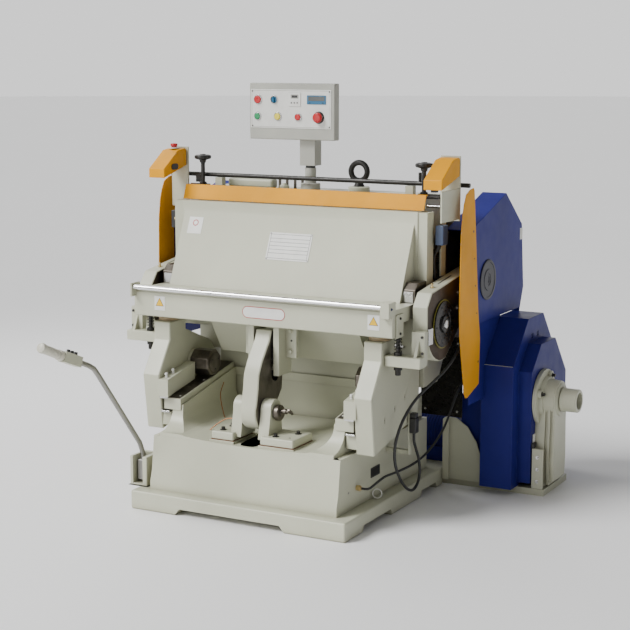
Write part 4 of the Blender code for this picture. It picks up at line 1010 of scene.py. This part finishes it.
def make_drive():
    """Clutch housing with its flange, lugs, bolts, ribs and foot; flywheel sleeve and motor."""
    axis = (0, DRIVE_Y, DRIVE_Z)
    flange = lathe([(0.8957, 0.122), (0.8975, 0.124), (0.9130, 0.124), (0.9150, 0.121), (0.9155, 0.096),
                    (0.9300, 0.092), (0.9320, 0.084), (0.9750, 0.080), (0.9790, 0.073), (0.9850, 0.070),
                    (0.9885, 0.062)], axis, "X", 72)
    corners = circle((DRIVE_Y, DRIVE_Z), 0.100, 70, 4)
    lugs = [turned([(-0.006, 0.019), (0.012, 0.019), (0.014, 0.017)], (0.9150, y, z), RIGHT, 24)
            for y, z in corners]
    ribs = [side_profile(rib_outline(*outline), low, high) for low, high, *outline in
            ((0.8957, 0.940, 0.080, 0.028, 0.074, 0.078), (0.9400, 0.952, 0.072, 0.045, 0.066, 0.068),
             (0.9520, 0.962, 0.080, 0.040, 0.074, 0.076), (0.9620, 0.972, 0.072, 0.050, 0.064, 0.064),
             (0.9720, 0.982, 0.078, 0.060, 0.070, 0.068))]
    foot = box_shape((0.505, 0.502, 0), (0.955, 0.80, 0.0285))
    motor_base = box_shape((0.20, 0.500, 0), (0.52, 0.84, 0.0545))
    housing = welded(flange, *lugs, *ribs, foot, motor_base)
    housing = carved(housing, lathe([(0.80, 0.034), (1.10, 0.034)], axis, "X", 40))
    publish(rounded(housing, 0.0025, 2, 35), "drive_stand_shell", "cream", "frame", ["drive_stand"])
    bolts("clutch_bolts", [(0.9292, y, z) for y, z in corners], RIGHT, 0.0115, "black", height=0.014)
    plate = rounded(box_shape((0.9000, 0.4985, 0.030), (0.9500, 0.5100, 0.205)), 0.003, 3)
    publish(plate, "housing_plate", "cream")
    bolts("plate_bolts", [(0.925, 0.4985, z) for z in (0.062, 0.115, 0.168)], (0, -1, 0), 0.0085, "steel",
          height=0.008)
    publish(rounded(box_shape((0.8960, 0.515, 0.225), (0.8985, 0.545, 0.262)), 0.0006, 2), "drive_label",
            "label")
    publish(rounded(box_shape((0.8960, 0.500, 0.205), (0.9080, 0.535, 0.226)), 0.002, 2), "drive_block",
            "plastic")
    sleeve = [(0.54, 0.028), (0.542, 0.030), (0.722, 0.030), (0.724, 0.150), (0.7245, 0.183), (0.727, 0.185),
              (0.7825, 0.185), (0.785, 0.183), (0.787, 0.030), (0.9905, 0.030), (0.9910, 0.052),
              (0.9950, 0.054), (1.0010, 0.053), (1.0060, 0.0505), (1.0600, 0.0500), (1.0640, 0.0475)]
    wheel = carved(lathe(sleeve, axis, "X", 72), lathe([(1.010, 0.036), (1.10, 0.0375)], axis, "X", 40))
    publish(wheel, "flywheel_shell", "dark_steel", "flywheel_body", ["flywheel"], second=("cream",),
            pick=lambda face: face.center.x > 0.9895)
    publish(lathe([(1.011, 0.0335), (1.013, 0.0335), (1.0135, 0.012), (1.024, 0.011)], axis, "X", 32),
            "sleeve_core", "oily", "flywheel_body")
    fins = [lathe([(x, 0.0885), (x + 0.0055, 0.0885)], (0, 0.72, 0.17), "X", 48)
            for x in (0.245 + 0.014 * step for step in range(13))]
    softened("motor", 0.003, "blue")
    publish(joined(fins), "motor_fins", "blue", even=False)


# ---------------------------------------------------------------- console and lever

CONTROLS = (("start_button_red", -0.265, 1.672, 0.0165, "red", "start_button"),
            ("run_button_green", -0.267, 1.601, 0.0135, "green", "run_button"),
            ("jog_button_amber", -0.168, 1.601, 0.0145, "amber", "jog_button"),
            ("stop_button_red", -0.069, 1.600, 0.0135, "red", "stop_button"),
            ("console_estop", 0.030, 1.600, 0.0215, "red", "console_estop_body"),
            ("mode_selector", -0.185, 1.672, 0.0145, "teal", "selector"))


def make_console():
    """Console with its white face, bezels, counter, display and controls."""
    face = 0.20
    softened("console_box", 0.007, "grey", "console", 4)
    panel = box_shape((-0.301, face - 0.0022, 1.552), (0.089, face - 0.0002, 1.716))
    holes = [lathe([(-0.1, radius + 0.0012), (0.1, radius + 0.0012)], (x, face, z), "Y", 32)
             for _name, x, z, radius, _finish, _body in CONTROLS]
    publish(carved(rounded(panel, 0.0007, 2), *holes), "console_face", "white", "console")
    border = carved(box_shape((-0.296, face - 0.0026, 1.5565), (0.084, face - 0.0021, 1.7115)),
                    box_shape((-0.2945, face - 0.01, 1.558), (0.0825, face + 0.01, 1.710)))
    publish(border, "console_border", "grey", "console", even=False)
    screws("console_screws", [(x, face - 0.0022, z) for x in (-0.2925, 0.0805) for z in (1.5605, 1.7075)],
           (0, -1, 0), 0.0028, "black", "console")
    for name, x, z, radius, finish, body in CONTROLS:
        outer = [(-0.0058, radius + 0.0026), (-0.0050, radius + 0.0036), (-0.0022, radius + 0.0042)]
        bezel = carved(lathe(outer, (x, face, z), "Y", 40),
                       lathe([(-0.1, radius + 0.0011), (0.1, radius + 0.0011)], (x, face, z), "Y", 40))
        publish(bezel, name + "_bezel", "plastic" if name == "console_estop" else "steel", "console")
        publish(control_shape(name, (x, face - 0.0003, z), radius), name + "_shell", finish, body, [name])
    counter = [((-0.1155, 1.646), (-0.0565, 1.702), 0.0050, "white"),
               ((-0.103, 1.678), (-0.066, 1.695), 0.0056, "grey"),
               ((-0.0985, 1.6815), (-0.0705, 1.6915), 0.0060, "plastic")]
    display = [((-0.0255, 1.655), (0.0640, 1.692), 0.0045, "teal"),
               ((-0.0190, 1.6690), (0.0585, 1.6880), 0.0052, "glass")]
    for number, (low, high, depth, finish) in enumerate(counter + display):
        shape = box_shape((low[0], face - depth, low[1]), (high[0], face - 0.0015, high[1]))
        publish(rounded(shape, 0.0004, 2), "console_inset_%d" % (number + 1), finish, "console")
    rows = ((0.0024, 1.6605, (-0.012, 0.050)), (0.0030, 1.6600, (-0.100, -0.086, -0.072)))
    keys = [lathe([(-0.0062, radius), (-0.0048, radius + 0.0002)], (x, face, z), "Y", 16)
            for radius, z, places in rows for x in places]
    publish(joined(keys), "console_keys", "plastic", "console")


def control_shape(name, centre, radius):
    """A push button, a mushroom head or a selector knob, facing the operator."""
    if name == "console_estop":
        dome = [(-0.0240, 0.0125), (-0.0230, 0.0175), (-0.0205, 0.0205), (-0.0165, 0.0215)]
        neck = [(-0.0125, 0.0215), (-0.0120, 0.0180), (-0.0115, 0.0130), (0.0, 0.0130)]
        head = lathe(dome + neck, centre, "Y", 48)
        grooves = [lathe([(-0.03, 0.0016), (-0.0205, 0.0016)], (x, centre[1] - 0.002, z), "Y", 10)
                   for x, z in circle((centre[0], centre[2]), 0.0155, 0, 8)]
        return carved(head, *grooves)
    if name == "mode_selector":
        knob = lathe([(-0.0050, radius - 0.003), (-0.0040, radius - 0.0015), (0.0, radius)], centre, "Y", 40)
        ridge = box_shape((centre[0] - 0.0030, centre[1] - 0.0138, centre[2] - 0.0115),
                          (centre[0] + 0.0030, centre[1] - 0.0010, centre[2] + 0.0115))
        return welded(knob, rounded(ridge, 0.0012, 3))
    return lathe([(-0.0098, radius * 0.55), (-0.0094, radius * 0.80), (-0.0082, radius * 0.95),
                  (-0.0070, radius), (0.0, radius)], centre, "Y", 40)


def make_lever():
    """Hand lever: housing, dark socket, grey rod, ribbed grip, buttons, pivot bolts and a black sheet round
    the foot that paints its contact shadow.
    """
    softened("lever_housing", 0.004, "cream", segments=3)
    publish(rounded(node_shape("hand_lever"), 0.0015, 2), "hand_lever_shell", "lever_steel", "lever",
            ["hand_lever"], second=("black",),
            pick=lambda face: face.center.z < 0.187 and abs(face.center.x + 0.511) > 0.0112)
    publish(rounded(node_shape("lever_grip"), 0.004, 4), "lever_grip_shell", "cream", "lever",
            ["lever_grip"])
    start, along = Vector((-0.511, -0.895, 0.7195)), Vector((0, -0.92, 0.392)).normalized()
    ribs = [(0.000, 0.0195), (0.010, 0.0205), (0.022, 0.0205), (0.024, 0.0165)]
    for step in range(5):
        begin = 0.030 + step * 0.016
        ribs += [(begin, 0.0165), (begin + 0.003, 0.0182), (begin + 0.010, 0.0182), (begin + 0.013, 0.0165)]
    ribs += [(0.116, 0.0170), (0.119, 0.0200), (0.130, 0.0205), (0.136, 0.0180), (0.139, 0.0110)]
    publish(turned(ribs, start, along, 32), "grip_sleeve", "grip", "lever")
    for number in (1, 2, 3):
        node = "lever_button_%d" % number
        publish(rounded(node_shape(node), 0.0012, 3), node + "_shell", "plastic", node + "_body", [node])
    bolts("lever_pivot_bolt", [(-0.4649, -0.345, 0.135)], RIGHT, 0.0105, "dark_steel", height=0.012)
    bolts("lever_pivot_bolt_far", [(-0.5501, -0.345, 0.135)], (-1, 0, 0), 0.0105, "dark_steel", height=0.010)
    # A black sheet just wider than the housing's foot paints its contact shadow on the flange.
    publish(rounded(box_shape((-0.556, -0.406, 0.0791), (-0.459, -0.284, 0.0800)), 0.0003, 1),
            "lever_foot_shadow", "plastic")


# ---------------------------------------------------------------- cables

DRIVE_CABLE_ROUTE = [
    (0.706, 0.236, 0.790), (0.704, 0.205, 0.745), (0.700, 0.165, 0.690), (0.690, 0.115, 0.638),
    (0.670, 0.060, 0.592), (0.645, 0.005, 0.555), (0.618, -0.050, 0.515), (0.596, -0.102, 0.465),
    (0.578, -0.142, 0.400), (0.565, -0.160, 0.325), (0.558, -0.142, 0.245), (0.557, -0.090, 0.170),
    (0.557, -0.025, 0.115), (0.557, 0.035, 0.095), (0.557, 0.082, 0.115), (0.558, 0.098, 0.160),
    (0.558, 0.085, 0.215), (0.558, 0.058, 0.262), (0.558, 0.038, 0.300), (0.558, 0.035, 0.3335)]
CONTROL_CABLE_ROUTE = [
    (0.4592, -0.242, 0.157), (0.475, -0.242, 0.157), (0.490, -0.233, 0.160), (0.498, -0.195, 0.171),
    (0.505, -0.125, 0.183), (0.518, -0.040, 0.184), (0.532, 0.060, 0.188), (0.548, 0.150, 0.207),
    (0.560, 0.235, 0.243), (0.570, 0.305, 0.290), (0.580, 0.350, 0.350), (0.592, 0.380, 0.415),
    (0.605, 0.405, 0.462), (0.618, 0.440, 0.490), (0.626, 0.480, 0.488), (0.630, 0.515, 0.464),
    (0.631, 0.533, 0.438), (0.631, 0.536, 0.4115)]
LEVER_CABLE_ROUTE = [(-0.4765, -0.318, 0.2065), (-0.476, -0.318, 0.225), (-0.470, -0.308, 0.250),
                     (-0.462, -0.290, 0.268), (-0.452, -0.268, 0.276), (-0.441, -0.262, 0.278)]


def route_length(points):
    """Length along a smoothed route."""
    path = smooth_path(points, 0.005)
    return sum((b - a).length for a, b in zip(path, path[1:]))


def make_cables():
    """The drive cable with its plug, the control cable and the short lever cable."""
    plug = rounded(box_shape((0.5446, 0.018, 0.336), (0.5730, 0.052, 0.400)), 0.004, 3)
    collar = lathe([(0.3352, 0.0095), (0.3365, 0.0105), (0.3380, 0.0105)], (0.558, 0.035, 0), "Z", 24)
    cap = rounded(box_shape((0.5450, 0.021, 0.400), (0.5710, 0.049, 0.420)), 0.003, 2)
    grooves = [box_shape((0.572, 0.010, z), (0.58, 0.060, z + 0.002)) for z in (0.346, 0.352, 0.358)]
    socket = publish(joined([carved(plug, *grooves), collar, cap]), "drive_plug", "plastic", "frame",
                     ["cable_socket"])
    rows = (("drive_cable", DRIVE_CABLE_ROUTE, 0.012, "plug", [socket]),
            ("control_cable", CONTROL_CABLE_ROUTE, 0.010, "object", []),
            ("lever_cable", LEVER_CABLE_ROUTE, 0.008, "object", []))
    for name, points, thickness, far_end, extra in rows:
        cable = route(name + "_shell", points, thickness / 2, "rubber")
        if name in NODES:
            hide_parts(name)
        route_length(points)


# ---------------------------------------------------------------- room, lights and camera

def aim_lamp(lamp, place, target):
    """Stand a lamp at a place and turn it to its target."""
    holder = bpy.data.objects.new(lamp.name, lamp)
    holder.location = place
    holder.rotation_euler = (Vector(target) - Vector(place)).to_track_quat("-Z", "Y").to_euler()
    bpy.context.scene.collection.objects.link(holder)


def make_sky():
    """A soft grey sky with a bright patch behind the press."""
    world = bpy.data.worlds.new("studio")
    bpy.context.scene.world = world
    world.use_nodes = True
    tree = world.node_tree
    place = tree.nodes.new("ShaderNodeTexCoord")
    facing = tree.nodes.new("ShaderNodeVectorMath")
    facing.operation = "DOT_PRODUCT"
    facing.inputs[1].default_value = (-0.47, 0.88, 0.0)
    patch = tree.nodes.new("ShaderNodeMapRange")
    for label, value in (("From Min", 0.84), ("From Max", 0.95), ("To Min", 0.30), ("To Max", 1.15)):
        patch.inputs[label].default_value = value
    tree.links.new(place.outputs["Generated"], facing.inputs[0])
    tree.links.new(facing.outputs["Value"], patch.inputs["Value"])
    tree.links.new(patch.outputs["Result"], tree.nodes["Background"].inputs["Strength"])
    tree.nodes["Background"].inputs["Color"].default_value = (1.0, 1.0, 1.0, 1.0)


def make_room():
    """A pale floor, the sky, a soft sun, two soft lamps and the camera."""
    floor = bmesh.new()
    bmesh.ops.create_circle(floor, cap_ends=True, radius=60.0, segments=64)
    data = bpy.data.meshes.new("floor")
    floor.to_mesh(data)
    floor.free()
    paint = Paint("pale_floor", (0.80, 0.80, 0.80), 0.55)
    tone = paint.mix(paint.noise(0.7, 3.0), (0.93, 0.93, 0.93, 1), (0.96, 0.96, 0.96, 1))
    data.materials.append(paint.finish(tone))
    piece = bpy.data.objects.new("floor", data)
    bpy.context.scene.collection.objects.link(piece)
    make_sky()
    sun = bpy.data.lights.new("key", "SUN")
    sun.energy, sun.angle = 3.5, math.radians(24.0)
    aim_lamp(sun, (-0.55, -0.60, 0.80), (0, 0, 0))
    lamps = (("front", (-1.6, -5.2, 2.2), 2.6, 70.0), ("rim", (-3.2, 1.4, 3.0), 2.0, 60.0))
    for name, place, size, power in lamps:
        lamp = bpy.data.lights.new(name, "AREA")
        lamp.size, lamp.energy = size, power
        aim_lamp(lamp, place, (0, 0, 0.9))
    lens = bpy.data.cameras.new("camera")
    lens.lens, lens.sensor_width = 88.3, 36.0
    camera = bpy.data.objects.new("camera", lens)
    camera.location = (3.104, -5.581, 1.877)
    camera.rotation_euler = (math.radians(80.30), 0, math.radians(28.15))
    bpy.context.scene.collection.objects.link(camera)
    bpy.context.scene.camera = camera


soften_plain_nodes()
make_base()
make_way_details()
make_arm_and_pillows()
make_saddles()
make_stop_brackets()
make_nameplates()
make_fascia_details()
make_trunnion_ends()
make_drawbars()
make_crown()
make_guards()
make_covers()
make_inner_panels()
make_drive()
make_console()
make_lever()
make_cables()
make_room()
